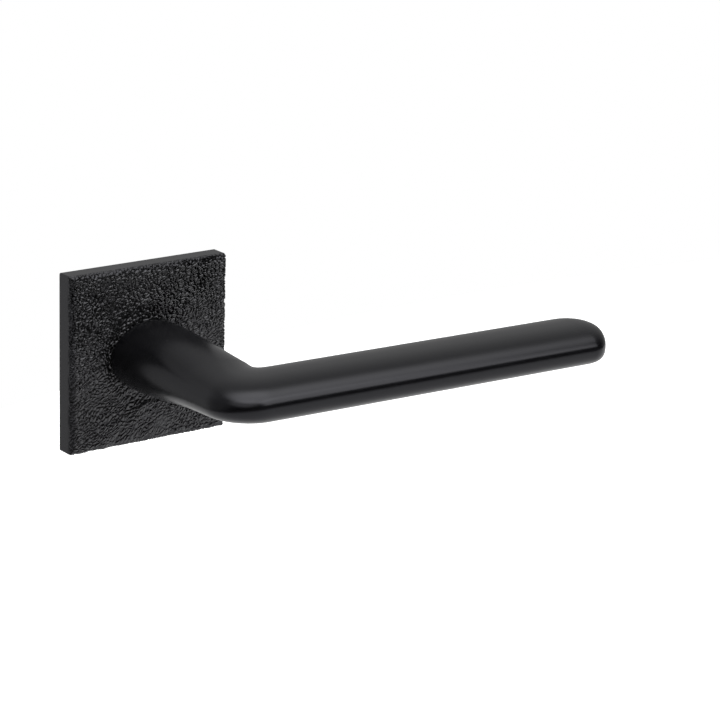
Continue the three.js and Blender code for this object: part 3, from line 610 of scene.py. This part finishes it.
def lever_mesh(lever):
    """One closed loft: socket, spigot, root, neck, bend, bar and tip are rings of as many points."""
    root_y = cover_low.y - lever.root_gap
    turns = np.linspace(0, 2 * math.pi, RING_POINTS, endpoint=False)
    # Station rings run from the outer edge over the top; x is -X of the neck at turn 0.
    across, up = np.cos(turns), np.sin(turns)

    def flat_ring(half_x, half_z, y):
        return np.stack([-half_x * across, np.full(RING_POINTS, y), half_z * up], axis=1)

    square = lever.socket_side / 2 / np.maximum(abs(across), abs(up))
    edge, radius, spigot_y = lever.root_edge, lever.spigot_radius, -lever.spigot_end
    root_x, root_z = lever.root_half_width - edge, lever.root_half_height - edge
    rings = [
        flat_ring(square, square, root_y - lever.socket_depth),
        flat_ring(square, square, spigot_y),
        flat_ring(radius - edge, radius - edge, spigot_y),
        flat_ring(radius, radius, spigot_y - edge),
        flat_ring(radius, radius, root_y),
        flat_ring(root_x, root_z, root_y),
    ]
    for step in RIM_STEPS:
        out, ahead = math.sin(step * math.pi / 2), 1 - math.cos(step * math.pi / 2)
        rings.append(flat_ring(root_x + edge * out, root_z + edge * out, root_y - edge * ahead))
    for inner_edge, outer_edge, power, above, below in lever_stations(lever, root_y - edge):
        middle, half_span = (inner_edge + outer_edge) / 2, (outer_edge - inner_edge) / 2
        a = np.sign(across) * abs(across) ** (2 / power)
        b = np.sign(up) * abs(up) ** (2 / power) * np.where(up > 0, above, below)
        rings.append(np.stack([middle[0] + half_span[0] * a, middle[1] + half_span[1] * a, b], axis=1))
    return closed_mesh("lever_grip", np.concatenate(rings), tube_faces(len(rings), RING_POINTS))


class LEVERHANDLE_OT_lever(bpy.types.Operator):
    """Make the lever: neck, bend and bar in one smooth lacquered piece"""

    bl_idname = "lever_handle.lever"
    bl_label = "Lever"

    def execute(self, context):
        lever = settings().lever
        grub_y = cover_low.y - lever.root_gap - lever.grub_from_root
        depth = lever.root_half_height
        bm = bmesh.new()
        bmesh.ops.create_cone(
            bm, cap_ends=True, segments=48, radius1=lever.grub_radius, radius2=lever.grub_radius,
            depth=depth, matrix=Matrix.Translation((0, grub_y, -depth / 2 - lever.grub_from_middle)))
        blank = linked("lever_blank", lever_mesh(lever))
        drill = linked("grub_drill", mesh_of(bm, "grub_drill"))
        cut(blank, drill)
        mesh = baked("lever_grip", blank, drill, sharp_degrees=30)
        new_object("lever_grip", mesh, "satin_black", "lever", ["lever_handle"])
        return {"FINISHED"}


# ---- Rose cover ------------------------------------------------------------

# The relief fades out from this share of the front edge's rounding, over this share of it.
FADE_START, FADE_SPAN = 0.5, 0.45
# The rows of points on the cover's side walls, from the rounded edge to the door.
WALL_STEPS = (0.03, 0.25, 0.5, 0.75, 1.0)
# The noises in the relief: the size that each follows, its share of it, its detail and its seed.
NOISES = {
    "drift": ("Wrinkle Size", 2.5, 1.0, 0.37),
    "wrinkles": ("Wrinkle Size", 1.0, 1.0, 0.11),
    "swell": ("Wrinkle Size", 3.0, 0.0, 0.53),
    "fine": ("Grain Size", 0.6, 1.0, 0.23),
}
# How far the drift pushes the pattern, in wrinkle sizes, and how its two layers are drawn out.
DRIFT_PUSH, WRINKLE_STRETCH, LUMP_STRETCH = 1.2, 0.5, 0.62
# The crease between two lumps, in grain sizes, and the fine noise's share of a lump's height.
CREASE_WIDTH, FINE_SHARE = 0.18, 0.7
# The lumps' height varies with the swell, and from the lower part of the cover to the upper.
SWELL_SHARES, LOWER_SHARE, UPPER_SHARE = (0.7, 1.4), 0.7, 1.75
LOWER_Z, UPPER_Z = -8 * MM, 14 * MM
# Round the neck the relief sinks and is kept low over a narrow ring.
RING_GAP, RING_WIDTH, RING_SINK, RING_LIMIT = 0.4 * MM, 1.5 * MM, 0.3 * MM, 0.12 * MM
# The normal's Y from which a lump's top counts as facing the front, and where it does so fully.
TILTED, FACING = -0.93, -0.995


def cover_mesh(rose):
    """The cover as a shell: a fine square grid for its front, strips round the edges and walls, and a
    plain inside. The attribute relief says how much of the relief each point takes."""
    half, depth = cover_high.x, -cover_low.y
    flat = half - rose.edge_radius
    count = round(2 * flat / rose.mesh_step)
    line = np.linspace(-flat, flat, count + 1)
    vertices, relief, faces = [], [], []

    def add(x, y, z, share):
        vertices.append((x, y, z))
        relief.append(share)
        return len(vertices) - 1

    grid = [[add(x, -depth, z, 1.0) for x in line] for z in line]
    middle = (line[:-1] + line[1:]) / 2
    open_cell = np.hypot(*np.meshgrid(middle, middle)) < rose.hole_radius
    for row in range(count):
        for column in range(count):
            if not open_cell[row, column]:
                faces.append((grid[row][column], grid[row + 1][column], grid[row + 1][column + 1],
                              grid[row][column + 1]))

    # The front's border, once round, with the outward direction of the side that each point is on.
    border = [(line[i], -flat, 0, -1, grid[0][i]) for i in range(count)]
    border += [(flat, line[i], 1, 0, grid[i][count]) for i in range(count)]
    border += [(line[count - i], flat, 0, 1, grid[count][count - i]) for i in range(count)]
    border += [(-flat, line[count - i], -1, 0, grid[count - i][0]) for i in range(count)]

    def outline(size, corner):
        """The border's points moved out to a square of this half size with rounded corners."""
        points = []
        for x, z, side_x, side_z, _ in border:
            x, z = x * size / flat, z * size / flat
            along = z if side_x else x
            over = abs(along) - (size - corner)
            if over > 0 and corner > 0:
                turn = over / corner * math.pi / 4
                fixed = size - corner + corner * math.cos(turn)
                moved = math.copysign(size - corner + corner * math.sin(turn), along)
                x, z = (side_x * fixed, moved) if side_x else (moved, side_z * fixed)
            points.append((x, z))
        return points

    def strip(previous, size, corner, y, share):
        ring = [add(x, y, z, share) for x, z in outline(size, corner)]
        for i in range(len(ring)):
            j = (i + 1) % len(ring)
            faces.append((previous[i], previous[j], ring[j], ring[i]))
        return ring

    ring = [point[4] for point in border]
    radius = rose.edge_radius
    rows = round(radius * math.pi / 2 / rose.mesh_step)
    for i in range(1, rows + 1):
        turn = i / rows * math.pi / 2
        share = 1 - smooth((i / rows - FADE_START) / FADE_SPAN)
        ring = strip(ring, flat + radius * math.sin(turn), rose.corner_radius * i / rows,
                     -depth + radius * (1 - math.cos(turn)), share)
    wall_end = -depth + radius
    for share_of_wall in WALL_STEPS:
        ring = strip(ring, half, rose.corner_radius, wall_end * (1 - share_of_wall), 0)
    inner = half - rose.wall
    ring = strip(ring, inner, rose.corner_radius, 0, 0)
    back = -depth + rose.face
    strip(ring, inner, rose.corner_radius, back, 0)

    mesh = bpy.data.meshes.new("rose_cover_blank")
    mesh.from_pydata(vertices, [], faces)
    values = mesh.attributes.new("relief", "FLOAT", "POINT")
    values.data.foreach_set("value", relief)
    close_cover(mesh, rose.hole_radius, back)
    return mesh


def close_cover(mesh, hole_radius, back):
    """Rounds the hole in the front, gives it a wall, and closes the inside of the front face."""
    bm = bmesh.new()
    bm.from_mesh(mesh)
    inner_edges = [edge for edge in bm.edges if edge.is_boundary
                   and all(abs(vert.co.y - back) < SAME_PLACE for vert in edge.verts)]
    inner = set(inner_edges)
    hole_edges = [edge for edge in bm.edges if edge.is_boundary and edge not in inner]
    for vert in {v for edge in hole_edges for v in edge.verts}:
        distance = math.hypot(vert.co.x, vert.co.z)
        vert.co.x *= hole_radius / distance
        vert.co.z *= hole_radius / distance
    wall = bmesh.ops.extrude_edge_only(bm, edges=hole_edges)["geom"]
    relief = bm.verts.layers.float["relief"]
    for vert in (g for g in wall if isinstance(g, bmesh.types.BMVert)):
        vert.co.y = back
        vert[relief] = 0
    wall_edges = [g for g in wall if isinstance(g, bmesh.types.BMEdge)]
    bmesh.ops.triangle_fill(bm, use_beauty=True, use_dissolve=False, edges=inner_edges + wall_edges)
    bmesh.ops.recalc_face_normals(bm, faces=bm.faces)
    bm.to_mesh(mesh)
    bm.free()


def relief_tree():
    """Geometry nodes that raise the wrinkles and the grain along the surface's normal."""
    tree, add, given = geometry_tree("leather_relief", (
        "Wrinkle Size", "Wrinkle Height", "Grain Size", "Grain Height", "Lift", "Direction",
        "Stand Proud", "Clear Radius"))
    place = add("GeometryNodeInputPosition")
    turned = add("ShaderNodeVectorRotate", {"Vector": place, "Angle": given["Direction"]},
                 rotation_type="Y_AXIS")

    def pattern(name, at):
        size, share, detail, seed = NOISES[name]
        spacing = add(MATH, {0: given[size], 1: share}, operation="MULTIPLY")
        scale = add(MATH, {0: 1.0, 1: spacing}, operation="DIVIDE")
        moved = add(VECTOR_MATH, {0: at, 1: (seed, seed, seed)}, operation="ADD")
        return add(NOISE, {"Vector": moved, "Scale": scale, "Detail": detail, "Roughness": 0.5})

    # The pattern is bent by a slow noise, so that the wrinkles wander, and stretched along them.
    centred = add(VECTOR_MATH, {0: pattern("drift", turned).outputs["Color"], 1: (0.5, 0.5, 0.5)},
                  operation="SUBTRACT")
    reach = add(MATH, {0: given["Wrinkle Size"], 1: DRIFT_PUSH}, operation="MULTIPLY")
    pushed = add(VECTOR_MATH, {0: centred, "Scale": reach}, operation="SCALE")
    bent = add(VECTOR_MATH, {0: turned, 1: pushed}, operation="ADD")
    drawn, short = (add(VECTOR_MATH, {0: bent, 1: (stretch, 1.0, 1.0)}, operation="MULTIPLY")
                    for stretch in (WRINKLE_STRETCH, LUMP_STRETCH))
    wave = add(RANGE, {"Value": pattern("wrinkles", drawn), "From Min": 0.25, "From Max": 0.75,
                       "To Min": -0.5, "To Max": 0.5})

    # Flat-topped lumps with a narrow crease between them; a fine noise breaks up their tops.
    scale = add(MATH, {0: 1.0, 1: given["Grain Size"]}, operation="DIVIDE")
    lumps = add("ShaderNodeTexVoronoi", {"Vector": short, "Scale": scale}, feature="DISTANCE_TO_EDGE")
    top = add(RANGE, {"Value": lumps, "From Max": CREASE_WIDTH, "To Min": -0.5, "To Max": 0.5},
              interpolation_type="SMOOTHSTEP")
    fine = add(MATH, {0: pattern("fine", turned), 1: 0.5}, operation="SUBTRACT")
    fine = add(MATH, {0: fine, 1: FINE_SHARE}, operation="MULTIPLY")
    lump = add(MATH, {0: top, 1: fine}, operation="ADD")

    # The casting is deepest above the neck and flattest at the lower edge.
    swelled = add(RANGE, {"Value": pattern("swell", turned), "From Min": 0.35, "From Max": 0.65,
                          "To Min": SWELL_SHARES[0], "To Max": SWELL_SHARES[1]})
    rise = add("ShaderNodeSeparateXYZ", {0: place}).outputs["Z"]
    risen = add(RANGE, {"Value": rise, "From Min": LOWER_Z, "From Max": UPPER_Z,
                        "To Min": LOWER_SHARE, "To Max": UPPER_SHARE})
    deepened = add(MATH, {0: swelled, 1: risen}, operation="MULTIPLY")
    deepened = add(MATH, {0: deepened, 1: given["Grain Height"]}, operation="MULTIPLY")
    wrinkled = add(MATH, {0: wave, 1: given["Wrinkle Height"]}, operation="MULTIPLY")
    grained = add(MATH, {0: lump, 1: deepened}, operation="MULTIPLY")
    height = add(MATH, {0: wrinkled, 1: grained}, operation="ADD")
    height = add(MATH, {0: height, 1: given["Lift"]}, operation="ADD")

    # Under the neck the relief sinks, so that it stays below the turning root.
    flat_place = add(VECTOR_MATH, {0: place, 1: (1.0, 0.0, 1.0)}, operation="MULTIPLY")
    ring_end = add(MATH, {0: given["Clear Radius"], 1: RING_WIDTH}, operation="ADD")
    ring = {"Value": add(VECTOR_MATH, {0: flat_place}, operation="LENGTH"),
            "From Min": given["Clear Radius"], "From Max": ring_end}
    limit = add(RANGE, {**ring, "To Min": RING_LIMIT, "To Max": given["Stand Proud"]})
    sink = add(RANGE, {**ring, "To Min": -RING_SINK, "To Max": 0.0})
    height = add(MATH, {0: height, 1: sink}, operation="ADD")
    height = add(MATH, {0: height, 1: limit}, operation="MINIMUM")

    # How near each point of the flat face is to a lump's top, for the lacquer's gloss.
    normal = add("GeometryNodeInputNormal")
    tilt = add("ShaderNodeSeparateXYZ", {0: normal}).outputs["Y"]
    flatness = add(RANGE, {"Value": tilt, "From Min": TILTED, "From Max": FACING})
    crown = add(RANGE, {"Value": lump, "From Min": -0.5, "From Max": 0.7})
    crown = add(MATH, {0: crown, 1: flatness}, operation="MULTIPLY")
    marked = add("GeometryNodeStoreNamedAttribute",
                 {"Geometry": given["Geometry"], "Name": "crown", "Value": crown},
                 data_type="FLOAT", domain="POINT")

    share = add("GeometryNodeInputNamedAttribute", {"Name": "relief"})
    raised = add(MATH, {0: height, 1: share}, operation="MULTIPLY")
    offset = add(VECTOR_MATH, {0: normal, "Scale": raised}, operation="SCALE")
    moved = add("GeometryNodeSetPosition", {"Geometry": marked, "Offset": offset})
    close_geometry(add, moved, given["Material"])
    return tree


class LEVERHANDLE_OT_rose_cover(bpy.types.Operator):
    """Make the rose's cover with its cast leather relief"""

    bl_idname = "lever_handle.rose_cover"
    bl_label = "Rose Cover"

    def execute(self, context):
        rose = settings().rose
        blank = linked("rose_cover_blank", cover_mesh(rose))
        blank.data.shade_smooth()
        add_tree(blank, relief_tree(), {
            "Wrinkle Size": rose.wrinkle_size, "Wrinkle Height": rose.wrinkle_height,
            "Grain Size": rose.grain_size, "Grain Height": rose.grain_height,
            "Lift": rose.lift, "Direction": rose.wrinkle_turn, "Stand Proud": rose.stand_proud,
            "Clear Radius": settings().lever.root_half_width + RING_GAP,
            "Material": material_of("wrinkled_black"),
        })
        mesh = baked("rose_face", blank, sharp_degrees=70)
        new_object("rose_face", mesh, "wrinkled_black", "rose", ["rose_cover"])
        return {"FINISHED"}


# ---- Fixing screws ---------------------------------------------------------

SCREW_SIDES, STEPS_PER_TURN = 40, 12
# The head's broken edge, and the radius that the point ends at.
SCREW_LIP, SCREW_POINT = 0.12 * MM, 0.04 * MM
# The cross recess: the length and width of its bars at its floor and above the head, in head radii.
CROSS_FLOOR, CROSS_MOUTH, CROSS_ABOVE = (0.75, 0.2), (1.15, 0.32), 1 * MM
# Where the thread's flank starts and ends, in pitches from its crest.
FLANK_START, FLANK_END = 0.04, 0.26


def screw_blank(screw, head_radius, front, end):
    """One unthreaded countersunk screw on the Y axis, with rings close enough to carry a thread."""
    radius = screw.shank_radius
    neck, tip = front + head_radius - radius, end - screw.tip_length
    profile = [(head_radius - SCREW_LIP, front), (head_radius, front + SCREW_LIP), (radius, neck)]
    steps = round((tip - neck) / (screw.pitch / STEPS_PER_TURN))
    profile += [(radius, neck + (tip - neck) * i / steps) for i in range(1, steps + 1)]
    steps = round(screw.tip_length / (screw.pitch / STEPS_PER_TURN))
    profile += [(max(radius * (1 - i / steps), SCREW_POINT), tip + screw.tip_length * i / steps)
                for i in range(1, steps + 1)]
    turns = np.linspace(0, 2 * math.pi, SCREW_SIDES, endpoint=False)
    vertices = [(r * math.cos(t), y, r * math.sin(t)) for r, y in profile for t in turns]
    return closed_mesh("screw_blank", vertices, tube_faces(len(profile), SCREW_SIDES))


def cross_cutter(head_radius, front, depth):
    """The driver's cross: two crossed bars that narrow as they go in."""
    bm = bmesh.new()
    for turn in (0, math.pi / 2):
        made = bmesh.ops.create_cube(bm, size=1)["verts"]
        for vert in made:
            inside = vert.co.y > 0
            span, width = CROSS_FLOOR if inside else CROSS_MOUTH
            vert.co = Vector((vert.co.x * head_radius * span,
                              front + (depth if inside else -CROSS_ABOVE),
                              vert.co.z * head_radius * width))
        bmesh.ops.rotate(bm, verts=made, matrix=Matrix.Rotation(turn, 3, "Y"))
    return mesh_of(bm, "cross_cutter")


def thread_tree():
    """Geometry nodes that cut a helical thread into a round shank on the Y axis, then put the screw at
    both ends of a line along Z."""
    tree, add, given = geometry_tree(
        "threaded_screws", ("Pitch", "Depth Share", "Thread Start", "Centres"))
    place = add("GeometryNodeInputPosition")
    parts = add("ShaderNodeSeparateXYZ", {0: place}).outputs
    turn = add(MATH, {0: parts["Z"], 1: parts["X"]}, operation="ARCTAN2")
    turn = add(MATH, {0: turn, 1: 2 * math.pi}, operation="DIVIDE")
    ahead = add(MATH, {0: parts["Y"], 1: given["Pitch"]}, operation="DIVIDE")
    phase = add(MATH, {0: ahead, 1: turn}, operation="ADD")
    phase = add(MATH, {0: phase}, operation="FRACT")
    off_crest = add(MATH, {0: phase, 1: 0.5}, operation="SUBTRACT")
    off_crest = add(MATH, {0: off_crest}, operation="ABSOLUTE")
    sunk = add(RANGE, {"Value": off_crest, "From Min": FLANK_START, "From Max": FLANK_END})
    full = add(MATH, {0: given["Thread Start"], 1: given["Pitch"]}, operation="ADD")
    begun = add(RANGE, {"Value": parts["Y"], "From Min": given["Thread Start"], "From Max": full})
    lost = add(MATH, {0: sunk, 1: begun}, operation="MULTIPLY")
    lost = add(MATH, {0: lost, 1: given["Depth Share"]}, operation="MULTIPLY")
    kept = add(MATH, {0: 1.0, 1: lost}, operation="SUBTRACT")
    radial = add("ShaderNodeCombineXYZ", {"X": kept, "Y": 1.0, "Z": kept})
    cut_place = add(VECTOR_MATH, {0: place, 1: radial}, operation="MULTIPLY")
    threaded = add("GeometryNodeSetPosition", {"Geometry": given["Geometry"], "Position": cut_place})

    lower = add(MATH, {0: given["Centres"], 1: -0.5}, operation="MULTIPLY")
    low = add("ShaderNodeCombineXYZ", {"Z": lower})
    step = add("ShaderNodeCombineXYZ", {"Z": given["Centres"]})
    line = add("GeometryNodeMeshLine", {"Count": 2, "Start Location": low, "Offset": step})
    both = add("GeometryNodeInstanceOnPoints", {"Points": line, "Instance": threaded})
    close_geometry(add, both, given["Material"])
    return tree


class LEVERHANDLE_OT_fixing_screws(bpy.types.Operator):
    """Make the two countersunk wood screws with their threads"""

    bl_idname = "lever_handle.fixing_screws"
    bl_label = "Fixing Screws"

    def execute(self, context):
        screw = settings().screw
        low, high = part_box("fixing_screw_upper")
        head_radius = (high.x - low.x) / 2
        blank = linked("screw_blank", screw_blank(screw, head_radius, low.y, high.y))
        cutter = linked("cross_cutter", cross_cutter(head_radius, low.y, screw.recess_depth))
        cut(blank, cutter, crossed=True)
        add_tree(blank, thread_tree(), {
            "Pitch": screw.pitch, "Depth Share": screw.thread_depth / screw.shank_radius,
            "Thread Start": low.y + screw.shank_length, "Centres": high.z + low.z,
            "Material": material_of("plated_steel"),
        })
        mesh = baked("fixing_screws", blank, cutter, sharp_degrees=40)
        new_object("fixing_screws", mesh, "plated_steel", "rose",
                   ["fixing_screw_upper", "fixing_screw_lower"])
        return {"FINISHED"}


# ---- Pieces that keep the shape of their CAD node --------------------------

FINISHED_APART = ("lever_handle", "rose_cover", "fixing_screw_upper", "fixing_screw_lower")
# How wide the broken edges are; the spring is drawn wire and has none.
EDGE_WIDTH = 0.08 * MM
OTHER_EDGES = {"door_gasket": 0.1 * MM, "square_spindle": 0.15 * MM, "return_spring": 0,
               "neck_bush": 0.1 * MM}
# Faces that meet at less than the first angle are one, and at more than the second have an edge.
FLAT_ANGLE, BROKEN_ANGLE = math.radians(0.6), math.radians(35)
# The spring's wire, and how far its hook reaches along the axis.
SPRING_WIRE, SPRING_HOOK = 1.2 * MM, 2.3 * MM


def refined(node):
    """A copy of a CAD node with its triangles joined, its curves smooth and its edges broken."""
    bm = bmesh.new()
    bm.from_mesh(frame["nodes"][node].data)
    bmesh.ops.remove_doubles(bm, verts=bm.verts, dist=SAME_PLACE)
    bmesh.ops.dissolve_limit(bm, angle_limit=FLAT_ANGLE, verts=bm.verts, edges=bm.edges)
    mesh = mesh_of(bm, node + "_finished")
    shade(mesh, sharp_degrees=28)
    body = None if node == "return_spring" else BODY_OF[node]
    piece = new_object(mesh.name, mesh, SLOT_OF[node], body, [node])
    edge = OTHER_EDGES.get(node, EDGE_WIDTH)
    if edge:
        bevel = piece.modifiers.new("broken_edges", "BEVEL")
        bevel.width = edge
        bevel.segments = 2
        bevel.limit_method = "ANGLE"
        bevel.angle_limit = BROKEN_ANGLE
        bevel.use_clamp_overlap = True
        bevel.harden_normals = True


def wind_spring(spring):
    """The spring's leg at the back stays in the housing and its hook turns with the driver; the coil
    between them winds up evenly."""
    low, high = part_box("return_spring")
    leg_y, hook_y = high.y - SPRING_WIRE, low.y + SPRING_HOOK
    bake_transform(spring, "rose", "lever", start=(0, leg_y, 0), end=(0, hook_y, 0))


class LEVERHANDLE_OT_inner_pieces(bpy.types.Operator):
    """Finish the pieces behind the rose: base, gasket, spring housing and spindle"""

    bl_idname = "lever_handle.inner_pieces"
    bl_label = "Inner Pieces"

    def execute(self, context):
        for node in sorted(SLOT_OF):
            if node not in FINISHED_APART:
                refined(node)
        wind_spring(bpy.data.objects["return_spring_finished"])
        return {"FINISHED"}


# ---- Stage -----------------------------------------------------------------

# The soft box at the front right: its direction, its distance and its size.
KEY_TURN, KEY_ELEVATION, KEY_DISTANCE, KEY_WIDTH, KEY_HEIGHT = -59, 37.8, 1.6, 0.88, 1.0


def direction_of(turn, elevation):
    """The direction this many degrees from +X towards +Y and this many above the horizon."""
    turn, elevation = math.radians(turn), math.radians(elevation)
    return Vector((math.cos(turn) * math.cos(elevation), math.sin(turn) * math.cos(elevation),
                   math.sin(elevation)))


def add_camera(stage):
    back = Vector((math.sin(stage.azimuth) * math.cos(stage.elevation),
                   -math.cos(stage.azimuth) * math.cos(stage.elevation), math.sin(stage.elevation)))
    camera = linked("camera", bpy.data.cameras.new("camera"))
    camera.data.lens = stage.lens
    camera.location = Vector(stage.target) + back * stage.distance
    level = (-back).to_track_quat("-Z", "Y")
    camera.rotation_mode = "QUATERNION"
    camera.rotation_quaternion = level @ Matrix.Rotation(stage.roll, 3, "Z").to_quaternion()
    bpy.context.scene.camera = camera


def add_floor(stage):
    """A round floor, matt and plain, that shines a little for the camera alone."""
    bm = bmesh.new()
    bmesh.ops.create_circle(
        bm, cap_ends=True, segments=96, radius=stage.floor_radius,
        matrix=Matrix.Translation((*stage.floor_centre, CAD_BOX[0][2] - stage.floor_drop)))
    floor = linked("floor", mesh_of(bm, "floor"))
    material, add, _ = new_material("matt_white_floor")
    seen = add("ShaderNodeLightPath").outputs["Is Camera Ray"]
    floor.data.materials.append(close_material(material, add, {
        "Base Color": scaled(stage.floor, 1),
        "Roughness": 0.9,
        "Specular IOR Level": 0.0,
        "Emission Color": (1, 1, 1, 1),
        "Emission Strength": add(MATH, {0: seen, 1: stage.floor_glow}, operation="MULTIPLY"),
    }))


def add_key_light(stage):
    """A large soft box aimed at the handle."""
    data = bpy.data.lights.new("key_front_right", "AREA")
    data.shape = "RECTANGLE"
    data.size, data.size_y = KEY_WIDTH, KEY_HEIGHT
    # A square metre that shines with this radiance gives pi watts for each unit of it.
    data.energy = stage.key_light * math.pi * KEY_WIDTH * KEY_HEIGHT
    light = linked("key_front_right", data)
    direction = direction_of(KEY_TURN, KEY_ELEVATION)
    light.location = direction * KEY_DISTANCE
    light.rotation_mode = "QUATERNION"
    light.rotation_quaternion = direction.to_track_quat("Z", "Y")
    light.visible_camera = False


def studio_world(stage):
    """A plain white room: bright ceiling, dim walls behind, and a dark opening at the front right."""
    world = bpy.data.worlds.new("studio")
    world.use_nodes = True
    world.node_tree.nodes.clear()
    add = partial(add_node, world.node_tree)
    direction = add("ShaderNodeTexCoord").outputs["Generated"]
    # Each bright patch: the turn and elevation of its middle, how far from there it starts and is
    # full, all in degrees, and its brightness.
    patches = ((68, 0, 92, 30, stage.wall_light), (150, 15, 60, 25, stage.side_light),
               (232, 52, 36, 14, stage.front_light), (-40, 80, 40, 16, stage.ceiling_light))
    around = 0.0
    for turn, elevation, start, full, brightness in patches:
        cosine = add(VECTOR_MATH, {0: direction, 1: direction_of(turn, elevation)},
                     operation="DOT_PRODUCT")
        patch = add(RANGE, {"Value": cosine, "From Min": math.cos(math.radians(start)),
                            "From Max": math.cos(math.radians(full)), "To Max": brightness},
                    interpolation_type="SMOOTHSTEP")
        around = add(MATH, {0: around, 1: patch}, operation="ADD")
    seen = add("ShaderNodeLightPath").outputs["Is Camera Ray"]
    strength = add(MIX, {"Factor": seen, "A": around, "B": 1.0}, data_type="FLOAT")
    background = add("ShaderNodeBackground", {"Color": (1, 1, 1, 1), "Strength": strength})
    add("ShaderNodeOutputWorld", {"Surface": background})
    return world


class LEVERHANDLE_OT_stage(bpy.types.Operator):
    """Set the camera, the pale floor and the soft studio light"""

    bl_idname = "lever_handle.stage"
    bl_label = "Stage"

    def execute(self, context):
        stage = settings().stage
        context.scene.view_settings.view_transform = "Standard"
        context.scene.world = studio_world(stage)
        add_camera(stage)
        add_floor(stage)
        add_key_light(stage)
        return {"FINISHED"}


# ---- Panel, registration and the run ---------------------------------------

PIECES = (LEVERHANDLE_OT_stage, LEVERHANDLE_OT_lever, LEVERHANDLE_OT_rose_cover,
          LEVERHANDLE_OT_fixing_screws, LEVERHANDLE_OT_inner_pieces)
GROUPS = (LeverSettings, RoseSettings, ScrewSettings, FinishSettings, StageSettings)


class LEVERHANDLE_PT_panel(bpy.types.Panel):
    bl_idname = "LEVERHANDLE_PT_panel"
    bl_label = "Lever Handle"
    bl_space_type = "VIEW_3D"
    bl_region_type = "UI"
    bl_category = "Lever Handle"

    def draw(self, context):
        handle = context.scene.lever_handle
        for piece in PIECES:
            self.layout.operator(piece.bl_idname)
        for name in ("lever", "rose", "screw", "finish", "stage"):
            group = getattr(handle, name)
            box = self.layout.box()
            box.label(text=name.title())
            for value in group.bl_rna.properties:
                if value.identifier not in ("rna_type", "name"):
                    box.prop(group, value.identifier)


def register():
    for item in (*GROUPS, HandleSettings, *PIECES, LEVERHANDLE_PT_panel):
        bpy.utils.register_class(item)
    bpy.types.Scene.lever_handle = bpy.props.PointerProperty(type=HandleSettings)


def unregister():
    del bpy.types.Scene.lever_handle
    for item in reversed((*GROUPS, HandleSettings, *PIECES, LEVERHANDLE_PT_panel)):
        bpy.utils.unregister_class(item)


def main():
    register()
    for piece in PIECES:
        group, name = piece.bl_idname.split(".")
        getattr(getattr(bpy.ops, group), name)()


if __name__ == "__main__":
    main()
